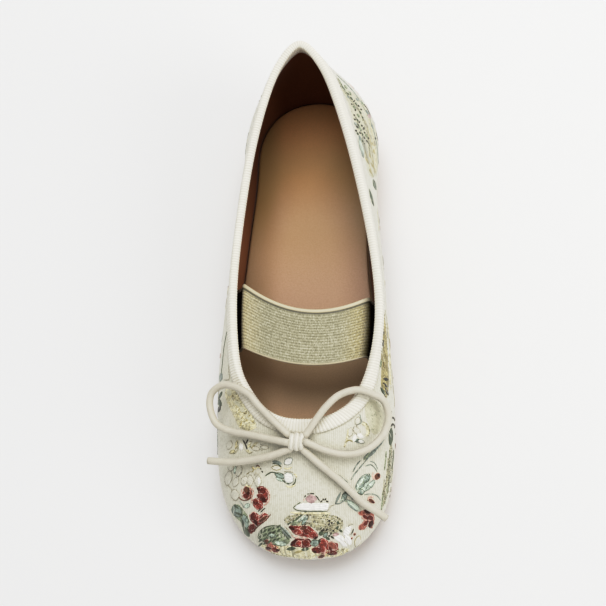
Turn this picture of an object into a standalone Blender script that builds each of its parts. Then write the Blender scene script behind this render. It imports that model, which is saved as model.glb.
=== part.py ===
"""Child's embroidered cloth ballet flat, right foot: a hollow cloth upper bound with ribbon
round its opening, on a low moulded sole, with an insole, an elastic instep strap and a cord bow.

The toe points to -Y, the outer (lateral) side of the foot is -X, and +Z is up. The origin is
on the floor, under the middle of the shoe. Sizes are in millimetres until a mesh is made.
"""

import math
from collections import namedtuple

import bpy
import numpy as np

METRES = 0.001  # one millimetre, in Blender's metres

# Driving dimensions of the last
LENGTH = 200.0  # heel seat to toe tip, along the sole seam
BALL_WIDTH = 71.5
INSTEP_HEIGHT = 36.0  # the opening's edge above the floor, at the throat
HEEL_HEIGHT = 56.5  # the opening's edge above the floor, at the back

# Sole, insole, wall and trim
HEEL_SEAT = 11.0  # top of the sole above the floor, under the heel
FOREPART = 5.0  # top of the sole above the floor, under the ball
TOE_SPRING = 4.0
SHANK_THICKNESS = 4.6  # the sole where it leaves the floor between heel and ball
INSOLE_THICKNESS = 2.2
WALL = 1.8  # cloth, padding and lining together
GAP = 0.3  # left between pieces that touch
RIBBON = 0.7  # thickness of the binding ribbon
RIBBON_INSIDE = 4.2  # how far the binding reaches down the inside of the wall
STRAP_WIDTH = 22.0  # the elastic's middle, which its pull draws narrower than its sewn ends
STRAP_LATERAL_WIDTH = 26.0
STRAP_MEDIAL_WIDTH = 24.0
STRAP_THICKNESS = 1.2
CORD = 2.7  # diameter of the bow's cord

# How far the binding reaches down the outside, at places along the shoe, on either side
RIBBON_PLACES = (-54.0, -42.0, -34.0, -22.0, 5.0, 20.0, 40.0, 60.0, 95.0)
RIBBON_LATERAL = (4.0, 4.0, 3.6, 3.0, 3.0, 3.0, 3.6, 4.0, 4.0)
RIBBON_MEDIAL = (4.0, 4.0, 3.2, 1.8, 1.6, 2.2, 2.8, 4.0, 4.0)

# Where the sole changes along the shoe, measured towards the heel from the middle
HEEL_BREAST = 33.0
HEEL_BREAST_RUN = 4.0  # the breast's slope, front to back
SEAT_FRONT = 40.0  # the heel seat is level behind this
TREAD_BACK = -14.0  # the ball touches the floor in front of this
TREAD_FRONT = -56.0

# One row for each section round the shoe, from the back of the heel along the lateral side to
# the toe and home along the medial side. foot is where the wall meets the sole and rim is the
# edge of the opening: across in shares of the ball width, along in shares of the length, and
# rim_lift from 0 at the instep height to 1 at the heel height. The wall leaves the sole flare
# outwards and rise up, and reaches the rim from reach outside it and drop below it, in mm.
Section = namedtuple(
    "Section", "foot_across foot_along flare rise rim_across rim_along rim_lift reach drop"
)
SECTIONS = [
    Section(0.000, 0.487, 3.2, 14.0, 0.000, 0.483, 1.00, 3.6, 18.0),  # heel back
    Section(-0.222, 0.461, 4.0, 14.0, -0.116, 0.446, 0.94, 7.0, 18.0),  # lateral heel corner
    Section(-0.346, 0.391, 5.0, 14.0, -0.190, 0.390, 0.83, 8.0, 18.0),  # lateral heel
    Section(-0.366, 0.300, 4.8, 14.0, -0.262, 0.303, 0.66, 6.5, 16.0),  # lateral counter
    Section(-0.388, 0.190, 3.8, 12.0, -0.326, 0.190, 0.41, 5.0, 13.0),  # lateral shank
    Section(-0.426, 0.070, 3.2, 11.0, -0.372, 0.060, 0.19, 4.5, 12.0),  # lateral waist
    Section(-0.470, -0.050, 3.2, 11.0, -0.382, -0.046, 0.06, 6.0, 11.0),  # lateral instep
    Section(-0.503, -0.180, 3.6, 11.0, -0.346, -0.156, 0.00, 8.5, 9.0),  # lateral ball
    Section(-0.486, -0.300, 4.2, 11.0, -0.272, -0.209, 0.00, 11.0, 6.0),  # lateral vamp
    Section(-0.394, -0.420, 5.4, 11.5, -0.174, -0.247, 0.01, 18.0, 4.5),  # lateral toe
    Section(-0.210, -0.480, 6.0, 12.0, -0.080, -0.263, 0.02, 25.0, 4.0),  # lateral toe corner
    Section(0.020, -0.496, 6.0, 12.0, 0.021, -0.267, 0.02, 27.0, 4.0),  # toe tip
    Section(0.222, -0.481, 6.0, 12.0, 0.120, -0.264, 0.02, 25.0, 4.0),  # medial toe corner
    Section(0.374, -0.424, 5.4, 11.5, 0.222, -0.248, 0.01, 18.0, 4.5),  # medial toe
    Section(0.443, -0.306, 4.2, 11.0, 0.317, -0.213, 0.00, 11.0, 6.0),  # medial vamp
    Section(0.443, -0.190, 3.6, 11.0, 0.384, -0.158, 0.00, 6.5, 9.0),  # medial ball
    Section(0.396, -0.060, 4.4, 11.0, 0.425, -0.060, 0.06, 3.5, 11.0),  # medial instep
    Section(0.356, 0.060, 5.4, 11.0, 0.403, 0.055, 0.19, 3.5, 12.0),  # medial waist
    Section(0.352, 0.190, 5.6, 12.0, 0.338, 0.188, 0.41, 5.0, 13.0),  # medial shank
    Section(0.366, 0.300, 6.0, 14.0, 0.264, 0.300, 0.66, 7.0, 16.0),  # medial counter
    Section(0.348, 0.391, 6.0, 14.0, 0.188, 0.388, 0.83, 9.5, 18.0),  # medial heel
    Section(0.222, 0.461, 4.4, 14.0, 0.116, 0.444, 0.94, 7.5, 18.0),  # medial heel corner
]

# The strap's edges where they leave the opening, and how far it leans to the toe between them
STRAP_LATERAL_Y = -11.0
STRAP_MEDIAL_Y = -17.5
STRAP_FORWARD = 7.0
STRAP_CROWN = 2.2  # the middle of the strap above its two ends
STRAP_TUCK = 11.0  # how far its sewn ends run down inside the wall
STRAP_LEAN = 1.4  # how far its shoulders stand in from the wall

# The bow lies on the throat. Its knot is a small squarish wrap, and each cord is a route of
# hand-placed steps from the middle of the knot: to the medial side, towards the heel, and up.
KNOT_MIDDLE = (-0.2, -61.3, 38.1)
KNOT_HALF_SIZE = (3.4, 3.2, 2.3)
KNOT_TILT = 11.0  # degrees, nose down, as the vamp under it
KNOT_SQUARENESS = 2.8
CORD_STEP = 4.0  # between the points of a cord's faceted tube
Step = namedtuple("Step", "across back up")
LATERAL_LOOP = [
    Step(-3.4, 2.8, 0.2),
    Step(-8.5, 7.5, 1.3),
    Step(-14.0, 13.0, 1.4),
    Step(-18.0, 17.5, 1.3),
    Step(-23.0, 20.5, 0.5),
    Step(-28.5, 22.0, -1.2),
    Step(-33.0, 20.0, -3.0),
    Step(-34.2, 16.0, -4.2),
    Step(-33.0, 11.0, -4.8),
    Step(-30.5, 7.5, -5.0),
    Step(-25.0, 5.0, -4.2),
    Step(-16.5, 3.0, -2.0),
    Step(-9.0, 1.0, -0.4),
    Step(-4.0, -0.3, 0.9),
]
MEDIAL_LOOP = [
    Step(3.6, 2.6, 0.6),
    Step(7.5, 8.0, 1.6),
    Step(11.0, 12.5, 1.9),
    Step(15.5, 16.5, 1.8),
    Step(21.5, 18.5, 1.2),
    Step(26.5, 17.5, -0.2),
    Step(31.0, 15.5, -2.6),
    Step(32.7, 11.0, -4.6),
    Step(32.0, 6.5, -5.5),
    Step(30.0, 2.5, -5.4),
    Step(26.0, -1.4, -4.6),
    Step(20.8, -3.7, -3.4),
    Step(15.5, -4.1, -2.1),
    Step(10.0, -2.9, -0.7),
    Step(4.2, -0.6, 0.9),
]
LATERAL_TAIL = [
    Step(-3.7, -2.7, -1.2),
    Step(-9.0, -4.4, -2.0),
    Step(-16.5, -5.6, -3.8),
    Step(-25.0, -6.0, -6.2),
    Step(-34.5, -5.0, -8.2),
]
MEDIAL_TAIL = [
    Step(2.7, -3.1, -1.3),
    Step(8.5, -8.0, -2.4),
    Step(15.5, -13.5, -5.0),
    Step(22.5, -20.0, -9.0),
    Step(27.5, -23.0, -11.8),
    Step(31.0, -25.2, -13.8),
]

SPOKES = 96  # sections round the faceted wall
WALL_STEPS = 9  # facets from the sole up to the opening


def sole_top(y):
    """Height of the sole's upper face: a level heel seat, a ramp to the ball and a toe spring."""
    ramp = np.clip((np.asarray(y) - TREAD_BACK) / (SEAT_FRONT - TREAD_BACK), 0.0, 1.0)
    ramp = ramp * ramp * (3 - 2 * ramp)
    toe = np.clip((TREAD_FRONT - np.asarray(y)) / (LENGTH / 2 + TREAD_FRONT), 0.0, 1.0)
    return FOREPART + (HEEL_SEAT - FOREPART) * ramp + TOE_SPRING * toe**2


def sole_bottom(y):
    """Height of the sole's under face: flat under heel and ball, raised between, sprung at the toe."""
    if y >= HEEL_BREAST + HEEL_BREAST_RUN:
        return 0.0
    raised = max(0.0, float(sole_top(y)) - SHANK_THICKNESS)
    if y > HEEL_BREAST:
        return raised * (HEEL_BREAST + HEEL_BREAST_RUN - y) / HEEL_BREAST_RUN
    if TREAD_FRONT <= y <= TREAD_BACK:
        return 0.0
    return raised - max(0.0, FOREPART - SHANK_THICKNESS)


def closed_spline(rows, at):
    """A smooth closed curve through the rows, read at places from 0 to 1 round it."""
    rows = np.asarray(rows, float)
    count = len(rows)
    steps = np.linalg.norm(np.roll(rows[:, :2], -1, axis=0) - rows[:, :2], axis=1)
    steps = steps / steps.sum()
    knots = np.concatenate([[0.0], np.cumsum(steps)])
    system = np.zeros((count, count))
    slopes = (np.roll(rows, -1, axis=0) - rows) / steps[:, None]
    right = np.zeros_like(rows)
    for i in range(count):
        before = steps[i - 1]
        system[i, i - 1] += before
        system[i, i] += 2 * (before + steps[i])
        system[i, (i + 1) % count] += steps[i]
        right[i] = 6 * (slopes[i] - slopes[i - 1])
    bends = np.linalg.solve(system, right)
    at = np.mod(np.asarray(at, float), 1.0)
    i = np.clip(np.searchsorted(knots, at, side="right") - 1, 0, count - 1)
    j = (i + 1) % count
    step = steps[i][:, None]
    b = (at - knots[i])[:, None] / step
    a = 1 - b
    cubic = ((a**3 - a) * bends[i] + (b**3 - b) * bends[j]) * step**2 / 6
    return a * rows[i] + b * rows[j] + cubic


def section_sizes():
    """The section table in millimetres, foot first so that spacing follows the sole's seam."""
    rows = []
    for s in SECTIONS:
        rim_z = INSTEP_HEIGHT + s.rim_lift * (HEEL_HEIGHT - INSTEP_HEIGHT)
        foot = [s.foot_across * BALL_WIDTH, s.foot_along * LENGTH]
        rim = [s.rim_across * BALL_WIDTH, s.rim_along * LENGTH, rim_z]
        rows.append(foot + [s.flare, s.rise] + rim + [s.reach, s.drop])
    return rows


def outward(around):
    """The plan direction that points away from the shoe, at places round the sole's seam."""
    small = 1e-4
    sizes = section_sizes()
    run = closed_spline(sizes, around + small)[:, :2] - closed_spline(sizes, around - small)[:, :2]
    run /= np.linalg.norm(run, axis=1)[:, None]
    return np.stack([run[:, 1], -run[:, 0]], axis=1)


def spoke_handles(around):
    """The four handles of the wall's curve at each place round the shoe: sole, lower, upper, rim."""
    s = closed_spline(section_sizes(), around)
    away = outward(around)
    foot = np.column_stack([s[:, :2], sole_top(s[:, 1]) + GAP])
    lower = foot + np.column_stack([away * s[:, 2:3], s[:, 3]])
    rim = s[:, 4:7]
    upper = rim + np.column_stack([away * s[:, 7:8], -s[:, 8]])
    return foot, lower, upper, rim


FINE = 60  # points that measure a spoke's length


def wall_curves(around):
    """Points up the outside of the wall for each place round the shoe, evenly spaced in the handles."""
    foot, lower, upper, rim = (h[:, None, :] for h in spoke_handles(around))
    s = np.linspace(0, 1, FINE)[None, :, None]
    return foot * (1 - s) ** 3 + 3 * lower * s * (1 - s) ** 2 + 3 * upper * s**2 * (1 - s) + rim * s**3


def wall_points(around, below_rim=None, share=None):
    """(points, normals) on the outside of the wall, one row of spokes for each height asked for.

    A height is below_rim, in millimetres down the wall from the opening, or share, from 0 at the
    sole to 1 at the opening; it is one value, or one for each spoke. Heights above the rim carry
    straight on.
    """
    small = 5e-4
    curves = [wall_curves(around + shift) for shift in (0.0, -small, small)]
    lengths = np.concatenate(
        [
            np.zeros((len(around), 1)),
            np.cumsum(np.linalg.norm(np.diff(curves[0], axis=1), axis=2), axis=1),
        ],
        axis=1,
    )
    heights = share if share is not None else below_rim
    points, normals = [], []
    for height in heights:
        asked = np.broadcast_to(height, len(around))
        row, facing = np.zeros((len(around), 3)), np.zeros((len(around), 3))
        for i in range(len(around)):
            total = lengths[i, -1]
            want = asked[i] * total if share is not None else total - asked[i]
            inside = min(max(want, 0.0), total)
            place = [
                np.array([np.interp(inside, lengths[i], c[i, :, k]) for k in range(3)])
                for c in curves
            ]
            k = int(np.clip(np.searchsorted(lengths[i], inside), 1, FINE - 1))
            up = curves[0][i, k] - curves[0][i, k - 1]
            up /= np.linalg.norm(up)
            face = np.cross(place[2] - place[1], up)
            facing[i] = face / np.linalg.norm(face)
            row[i] = place[0] + up * (want - inside)
        points.append(row)
        normals.append(facing)
    return np.array(points), np.array(normals)


def plan_centre():
    """Middle of the shoe in plan, where the origin goes."""
    curves = wall_curves(np.linspace(0, 1, 4 * SPOKES, endpoint=False)).reshape(-1, 3)
    return (curves.min(axis=0)[:2] + curves.max(axis=0)[:2]) / 2


def make_object(name, vertices, faces, material):
    """A named object from points in millimetres, moved so that the shoe's middle is the origin."""
    centre = np.append(plan_centre(), 0.0)
    mesh = bpy.data.meshes.new(name)
    mesh.from_pydata([tuple((v - centre) * METRES) for v in vertices], [], faces)
    mesh.update()
    mesh.shade_smooth()
    mesh.set_sharp_from_angle(angle=math.radians(40))
    mesh.materials.append(material)
    made = bpy.data.objects.new(name, mesh)
    bpy.context.scene.collection.objects.link(made)
    return made


def plain_material(name, colour, roughness, metallic=0.0):
    material = bpy.data.materials.new(name)
    material.use_nodes = True
    shader = material.node_tree.nodes["Principled BSDF"]
    shader.inputs["Base Color"].default_value = (*colour, 1.0)
    shader.inputs["Roughness"].default_value = roughness
    shader.inputs["Metallic"].default_value = metallic
    return material


def ring_solid(name, rings, material):
    """A closed ring: each ring of points runs round the shoe, and the rings go round its section."""
    count, around = len(rings), len(rings[0])
    faces = []
    for k in range(count):
        for n in range(around):
            m, following = (n + 1) % around, (k + 1) % count
            faces.append((k * around + n, k * around + m, following * around + m, following * around + n))
    return make_object(name, np.concatenate(rings), faces, material)


def loft_solid(name, sections, material):
    """A closed solid through sections that run from heel to toe, with both ends filled."""
    count, corners = len(sections), len(sections[0])
    faces = [tuple(reversed(range(corners))), tuple((count - 1) * corners + c for c in range(corners))]
    for k in range(count - 1):
        for c in range(corners):
            d = (c + 1) % corners
            faces.append((k * corners + c, k * corners + d, (k + 1) * corners + d, (k + 1) * corners + c))
    return make_object(name, np.concatenate(sections), faces, material)


def make_upper(material):
    """The cloth wall, hollow and open at the top and underneath."""
    around = np.linspace(0, 1, SPOKES, endpoint=False)
    shares = np.linspace(0, 1, WALL_STEPS + 1)
    outside, normals = wall_points(around, share=shares)
    inside = outside - normals * WALL
    inside[0, :, 2] = outside[0, :, 2]
    return ring_solid("upper", list(outside) + list(inside[::-1]), material)


def make_binding(material):
    """The ribbon folded over the edge of the opening, a trough upside down on the wall."""
    around = np.linspace(0, 1, SPOKES, endpoint=False)
    near, far = GAP, GAP + RIBBON
    half = WALL / 2
    rim = wall_curves(around)[:, -1]
    leg = np.where(
        rim[:, 0] < 0,
        np.interp(rim[:, 1], RIBBON_PLACES, RIBBON_LATERAL),
        np.interp(rim[:, 1], RIBBON_PLACES, RIBBON_MEDIAL),
    )
    # Below the rim, and out from the wall's outer face; the fold runs over the top
    fold = [
        (leg, near),
        (leg, far),
        (leg / 2, far),
        (0.0, far),
        (-far, near),
        (-far - GAP, -half),
        (-far, -WALL - near),
        (0.0, -WALL - far),
        (RIBBON_INSIDE, -WALL - far),
        (RIBBON_INSIDE, -WALL - near),
        (-near, -WALL - near),
        (-near, near),
    ]
    points, normals = wall_points(around, below_rim=[f[0] for f in fold])
    rings = [points[k] + normals[k] * out for k, (_, out) in enumerate(fold)]
    return ring_solid("topline_binding", rings, material)


def seam_edges(inset, stations):
    """Lateral and medial x of the sole's seam, drawn in by inset, at each distance along the shoe."""
    around = np.linspace(0, 1, 8 * SPOKES, endpoint=False)
    line = closed_spline(section_sizes(), around)[:, :2] - outward(around) * inset
    back, front = int(line[:, 1].argmax()), int(line[:, 1].argmin())
    turned = np.roll(line, -back, axis=0)
    tip = (front - back) % len(line)
    lateral, medial = turned[: tip + 1][::-1], turned[tip:]
    low, high = line[:, 1].min(), line[:, 1].max()
    y = low + (high - low) * (np.asarray(stations) + 1) / 2
    return y, np.interp(y, lateral[:, 1], lateral[:, 0]), np.interp(y, medial[:, 1], medial[:, 0])


STATIONS = 44  # sections along the faceted sole
BLUNT = 0.9975  # the last section stops this share of the way to the tip


def lengthwise_stations():
    """Places from toe (-1) to heel (1), closer together at the round ends, with the heel breast added."""
    angles = np.linspace(0, math.pi, STATIONS)
    places = list(-np.cos(angles) * BLUNT)
    half = LENGTH * 0.49
    for y in (HEEL_BREAST, HEEL_BREAST + HEEL_BREAST_RUN, TREAD_BACK, TREAD_FRONT):
        places.append(y / half)
    return np.array(sorted(places))


def make_outsole(material):
    """The moulded sole: low heel, raised shank, flat ball and sprung toe, with a rounded lower edge."""
    stations = lengthwise_stations()
    # In from the seam, and the share of the way down the side
    side = [(0.6, 0.0), (0.2, 0.25), (0.5, 0.75), (1.8, 1.0)]
    edges = [seam_edges(inset, stations) for inset, _ in side]
    sections = []
    for k in range(len(stations)):
        lateral, medial = [], []
        for (_, down), (y, left, right) in zip(side, edges):
            top, bottom = float(sole_top(y[k])), sole_bottom(y[k])
            z = top + (bottom - top) * down
            lateral.append((left[k], y[k], z))
            medial.append((right[k], y[k], z))
        sections.append(np.array(lateral + medial[::-1]))
    return loft_solid("outsole", sections[::-1], material)


def make_insole(material):
    """The padded sock on the sole, inside the wall, with a softly rounded upper edge."""
    stations = lengthwise_stations()
    # In from the wall's inner face, and height above the sole
    side = [(GAP, GAP), (GAP, GAP + 0.7 * INSOLE_THICKNESS), (1.0, GAP + INSOLE_THICKNESS)]
    edges = [seam_edges(WALL + inset, stations) for inset, _ in side]
    sections = []
    for k in range(len(stations)):
        lateral, medial = [], []
        for (_, up), (y, left, right) in zip(side, edges):
            z = float(sole_top(y[k])) + up
            lateral.append((left[k], y[k], z))
            medial.append((right[k], y[k], z))
        sections.append(np.array(lateral[::-1] + medial))
    return loft_solid("insole", sections[::-1], material)


def place_round(y, side):
    """Where the rim crosses a distance along the shoe, round the shoe from 0 to 1, on one side."""
    around = np.linspace(0, 1, 8 * SPOKES, endpoint=False)
    rim = spoke_handles(around)[3]
    chosen = np.flatnonzero(np.sign(rim[:, 0]) == side)
    return around[chosen[np.abs(rim[chosen, 1] - y).argmin()]]


def make_strap(material):
    """The elastic band over the instep, its two ends sewn down inside the wall."""
    columns = np.linspace(-0.5, 0.5, 5)
    arch = np.linspace(0, 1, 15)[1:-1]
    half = STRAP_THICKNESS / 2
    clear = WALL + GAP + RIBBON + GAP + half  # past the binding's inner leg
    depths = [STRAP_TUCK, STRAP_TUCK * 0.7, STRAP_TUCK * 0.4, STRAP_TUCK * 0.12]
    inward = clear + STRAP_LEAN * np.array([0.0, 0.0, 0.2, 1.0])[:, None, None]
    ends = []
    for side, middle_y, width in (
        (-1, STRAP_LATERAL_Y, STRAP_LATERAL_WIDTH),
        (1, STRAP_MEDIAL_Y, STRAP_MEDIAL_WIDTH),
    ):
        places = np.array([place_round(middle_y + c * width, side) for c in columns])
        points, normals = wall_points(places, below_rim=depths)
        ends.append(points - normals * inward)
    lateral, medial = ends
    drawn_in = 1 - 2 * STRAP_WIDTH / (STRAP_LATERAL_WIDTH + STRAP_MEDIAL_WIDTH)
    rows = list(lateral)
    start, finish = lateral[-1], medial[-1]
    for s in arch:
        bow = 4 * s * (1 - s)
        row = start * (1 - s) + finish * s
        row += (row[2] - row) * drawn_in * bow
        row[:, 1] -= STRAP_FORWARD * bow
        row[:, 2] += STRAP_CROWN * bow**0.5
        rows.append(row)
    rows += list(medial[::-1])
    grid = np.array(rows)
    across = np.gradient(grid, axis=1)
    along = np.gradient(grid, axis=0)
    facing = np.cross(across, along)
    facing /= np.linalg.norm(facing, axis=2)[:, :, None]
    sections = []
    for row, up in zip(grid, facing):
        sections.append(np.concatenate([row + up * half, (row - up * half)[::-1]]))
    return loft_solid("instep_strap", sections, material)


def make_knot(material):
    """The bow's knot: a squarish pillow, tilted as the vamp under it."""
    turns = np.linspace(0, 2 * math.pi, 20, endpoint=False)
    levels = np.linspace(-math.pi / 2, math.pi / 2, 9)[1:-1]
    power = 2 / KNOT_SQUARENESS

    def soft(value):
        return np.sign(value) * np.abs(value) ** power

    rings = []
    for level in levels:
        ring = [
            (soft(math.cos(level)) * soft(math.cos(t)), soft(math.cos(level)) * soft(math.sin(t)), soft(math.sin(level)))
            for t in turns
        ]
        rings.append(np.array(ring) * KNOT_HALF_SIZE)
    lean = math.radians(KNOT_TILT)
    turn = np.array(
        [[1, 0, 0], [0, math.cos(lean), -math.sin(lean)], [0, math.sin(lean), math.cos(lean)]]
    )
    sections = [ring @ turn.T + KNOT_MIDDLE for ring in rings]
    return loft_solid("bow_knot", sections, material)


def smooth_route(steps, spacing):
    """Points along a smooth curve through the steps, about this far apart."""
    points = np.array([KNOT_MIDDLE + np.array(step) for step in steps])
    ends = np.vstack([2 * points[0] - points[1], points, 2 * points[-1] - points[-2]])
    fine = []
    for a, b, c, d in zip(ends, ends[1:], ends[2:], ends[3:]):
        for t in np.linspace(0, 1, 20, endpoint=False):
            bend = 2 * a - 5 * b + 4 * c - d
            fine.append(0.5 * (2 * b + (c - a) * t + bend * t**2 + (3 * b - a - 3 * c + d) * t**3))
    fine = np.array(fine + [points[-1]])
    run = np.concatenate([[0.0], np.cumsum(np.linalg.norm(np.diff(fine, axis=0), axis=1))])
    places = np.linspace(0, run[-1], max(2, round(run[-1] / spacing)) + 1)
    return np.column_stack([np.interp(places, run, fine[:, k]) for k in range(3)])


def make_cord(name, steps, material):
    """A round cord along its route."""
    centre = np.append(plan_centre(), 0.0)
    route = (smooth_route(steps, CORD_STEP) - centre) * METRES
    curve = bpy.data.curves.new(name, "CURVE")
    curve.dimensions = "3D"
    curve.bevel_depth = CORD / 2 * METRES
    curve.bevel_resolution = 2
    curve.use_fill_caps = True
    spline = curve.splines.new("POLY")
    spline.points.add(len(route) - 1)
    for point, place in zip(spline.points, route):
        point.co = (*place, 1.0)
    curve.materials.append(material)
    made = bpy.data.objects.new(name, curve)
    bpy.context.scene.collection.objects.link(made)
    return made


def clear_scene():
    for old in list(bpy.data.objects):
        bpy.data.objects.remove(old)


def main():
    clear_scene()
    cloth = plain_material("brocade cloth", (0.67, 0.63, 0.52), 0.55)
    ribbon = plain_material("grosgrain ribbon", (0.80, 0.76, 0.68), 0.7)
    rubber = plain_material("sole rubber", (0.52, 0.41, 0.29), 0.75)
    sock = plain_material("tan sock", (0.36, 0.21, 0.12), 0.6)
    elastic = plain_material("woven elastic", (0.45, 0.41, 0.27), 0.6)
    make_outsole(rubber)
    make_upper(cloth)
    make_insole(sock)
    make_binding(ribbon)
    make_strap(elastic)
    cord = plain_material("satin cord", (0.69, 0.64, 0.56), 0.5)
    make_knot(cord)
    make_cord("bow_loop_lateral", LATERAL_LOOP, cord)
    make_cord("bow_loop_medial", MEDIAL_LOOP, cord)
    make_cord("bow_tail_lateral", LATERAL_TAIL, cord)
    make_cord("bow_tail_medial", MEDIAL_TAIL, cord)


main()
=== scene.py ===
"""Looks of the child's embroidered cloth flat, right foot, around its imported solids.

The brocade upper, its lining, the ribbed binding, the elastic, the sock, the sole and the cord bow
are remade finely from the same sections and routes as the solids, and the woven flowers are laid on
the cloth as raised patches of thread. Lengths are millimetres until a mesh is made.
"""

import math
from collections import namedtuple

import bpy
import numpy as np
from mathutils import Matrix, Vector
from mathutils.bvhtree import BVHTree


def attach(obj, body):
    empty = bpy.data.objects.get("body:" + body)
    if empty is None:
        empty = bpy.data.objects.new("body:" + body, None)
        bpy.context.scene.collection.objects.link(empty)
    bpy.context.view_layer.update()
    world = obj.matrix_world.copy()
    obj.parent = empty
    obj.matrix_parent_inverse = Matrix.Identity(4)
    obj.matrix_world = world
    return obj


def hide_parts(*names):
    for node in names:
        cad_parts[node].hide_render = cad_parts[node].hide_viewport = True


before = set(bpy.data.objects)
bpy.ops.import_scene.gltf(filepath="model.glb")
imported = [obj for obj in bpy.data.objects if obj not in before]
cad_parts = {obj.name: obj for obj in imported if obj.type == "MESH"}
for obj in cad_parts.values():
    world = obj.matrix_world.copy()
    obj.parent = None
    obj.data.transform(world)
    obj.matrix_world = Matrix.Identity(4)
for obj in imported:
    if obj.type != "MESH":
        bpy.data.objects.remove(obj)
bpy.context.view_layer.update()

METRES = 0.001  # one millimetre, in Blender's metres

# The last and its parts, as in the solids
LENGTH = 200.0
BALL_WIDTH = 71.5
INSTEP_HEIGHT = 36.0
HEEL_HEIGHT = 56.5
HEEL_SEAT = 11.0
FOREPART = 5.0
TOE_SPRING = 4.0
SHANK_THICKNESS = 4.6
INSOLE_THICKNESS = 2.2
WALL = 1.8
GAP = 0.3
RIBBON = 0.7
RIBBON_INSIDE = 4.2
CORD = 2.7
HEEL_BREAST = 33.0
HEEL_BREAST_RUN = 4.0
SEAT_FRONT = 40.0
TREAD_BACK = -14.0
TREAD_FRONT = -56.0
STRAP_WIDTH = 22.0
STRAP_LATERAL_WIDTH = 26.0
STRAP_MEDIAL_WIDTH = 24.0
STRAP_THICKNESS = 1.2
STRAP_LATERAL_Y = -11.0
STRAP_MEDIAL_Y = -17.5
STRAP_FORWARD = 7.0
STRAP_CROWN = 2.2
STRAP_TUCK = 11.0
STRAP_LEAN = 1.4

# One row for each section round the shoe, from the back of the heel along the lateral side to the
# toe and home along the medial side: where the wall meets the sole, how it leaves it, where the
# opening's edge is, and how the wall reaches that
Section = namedtuple(
    "Section", "foot_across foot_along flare rise rim_across rim_along rim_lift reach drop"
)
SECTIONS = [
    Section(0.000, 0.487, 3.2, 14.0, 0.000, 0.483, 1.00, 3.6, 18.0),  # heel back
    Section(-0.222, 0.461, 4.0, 14.0, -0.116, 0.446, 0.94, 7.0, 18.0),  # lateral heel corner
    Section(-0.346, 0.391, 5.0, 14.0, -0.190, 0.390, 0.83, 8.0, 18.0),  # lateral heel
    Section(-0.366, 0.300, 4.8, 14.0, -0.262, 0.303, 0.66, 6.5, 16.0),  # lateral counter
    Section(-0.388, 0.190, 3.8, 12.0, -0.326, 0.190, 0.41, 5.0, 13.0),  # lateral shank
    Section(-0.426, 0.070, 3.2, 11.0, -0.372, 0.060, 0.19, 4.5, 12.0),  # lateral waist
    Section(-0.470, -0.050, 3.2, 11.0, -0.382, -0.046, 0.06, 6.0, 11.0),  # lateral instep
    Section(-0.503, -0.180, 3.6, 11.0, -0.346, -0.156, 0.00, 8.5, 9.0),  # lateral ball
    Section(-0.486, -0.300, 4.2, 11.0, -0.272, -0.209, 0.00, 11.0, 6.0),  # lateral vamp
    Section(-0.394, -0.420, 5.4, 11.5, -0.174, -0.247, 0.01, 18.0, 4.5),  # lateral toe
    Section(-0.210, -0.480, 6.0, 12.0, -0.080, -0.263, 0.02, 25.0, 4.0),  # lateral toe corner
    Section(0.020, -0.496, 6.0, 12.0, 0.021, -0.267, 0.02, 27.0, 4.0),  # toe tip
    Section(0.222, -0.481, 6.0, 12.0, 0.120, -0.264, 0.02, 25.0, 4.0),  # medial toe corner
    Section(0.374, -0.424, 5.4, 11.5, 0.222, -0.248, 0.01, 18.0, 4.5),  # medial toe
    Section(0.443, -0.306, 4.2, 11.0, 0.317, -0.213, 0.00, 11.0, 6.0),  # medial vamp
    Section(0.443, -0.190, 3.6, 11.0, 0.384, -0.158, 0.00, 6.5, 9.0),  # medial ball
    Section(0.396, -0.060, 4.4, 11.0, 0.425, -0.060, 0.06, 3.5, 11.0),  # medial instep
    Section(0.356, 0.060, 5.4, 11.0, 0.403, 0.055, 0.19, 3.5, 12.0),  # medial waist
    Section(0.352, 0.190, 5.6, 12.0, 0.338, 0.188, 0.41, 5.0, 13.0),  # medial shank
    Section(0.366, 0.300, 6.0, 14.0, 0.264, 0.300, 0.66, 7.0, 16.0),  # medial counter
    Section(0.348, 0.391, 6.0, 14.0, 0.188, 0.388, 0.83, 9.5, 18.0),  # medial heel
    Section(0.222, 0.461, 4.4, 14.0, 0.116, 0.444, 0.94, 7.5, 18.0),  # medial heel corner
]

# The bow's cords, as steps from the middle of its knot: to the medial side, towards the heel, and up
KNOT_MIDDLE = np.array([-0.2, -61.3, 38.1])
KNOT_TILT = 11.0
LATERAL_LOOP = [
    (-3.4, 2.8, 0.2), (-8.5, 7.5, 1.3), (-14, 13, 1.4), (-18, 17.5, 1.3), (-23, 20.5, 0.5),
    (-28.5, 22, -1.2), (-33, 20, -3), (-34.2, 16, -4.2), (-33, 11, -4.8), (-30.5, 7.5, -5),
    (-25, 5, -4.2), (-16.5, 3, -2), (-9, 1, -0.4), (-4, -0.3, 0.9),
]
MEDIAL_LOOP = [
    (3.6, 2.6, 0.6), (7.5, 8, 1.6), (11, 12.5, 1.9), (15.5, 16.5, 1.8), (21.5, 18.5, 1.2),
    (26.5, 17.5, -0.2), (31, 15.5, -2.6), (32.7, 11, -4.6), (32, 6.5, -5.5), (30, 2.5, -5.4),
    (26, -1.4, -4.6), (20.8, -3.7, -3.4), (15.5, -4.1, -2.1), (10, -2.9, -0.7), (4.2, -0.6, 0.9),
]
LATERAL_TAIL = [
    (-3.7, -2.7, -1.2), (-9, -4.4, -2), (-16.5, -5.6, -3.8), (-25, -6, -6.2), (-34.5, -5, -8.2),
]
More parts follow.
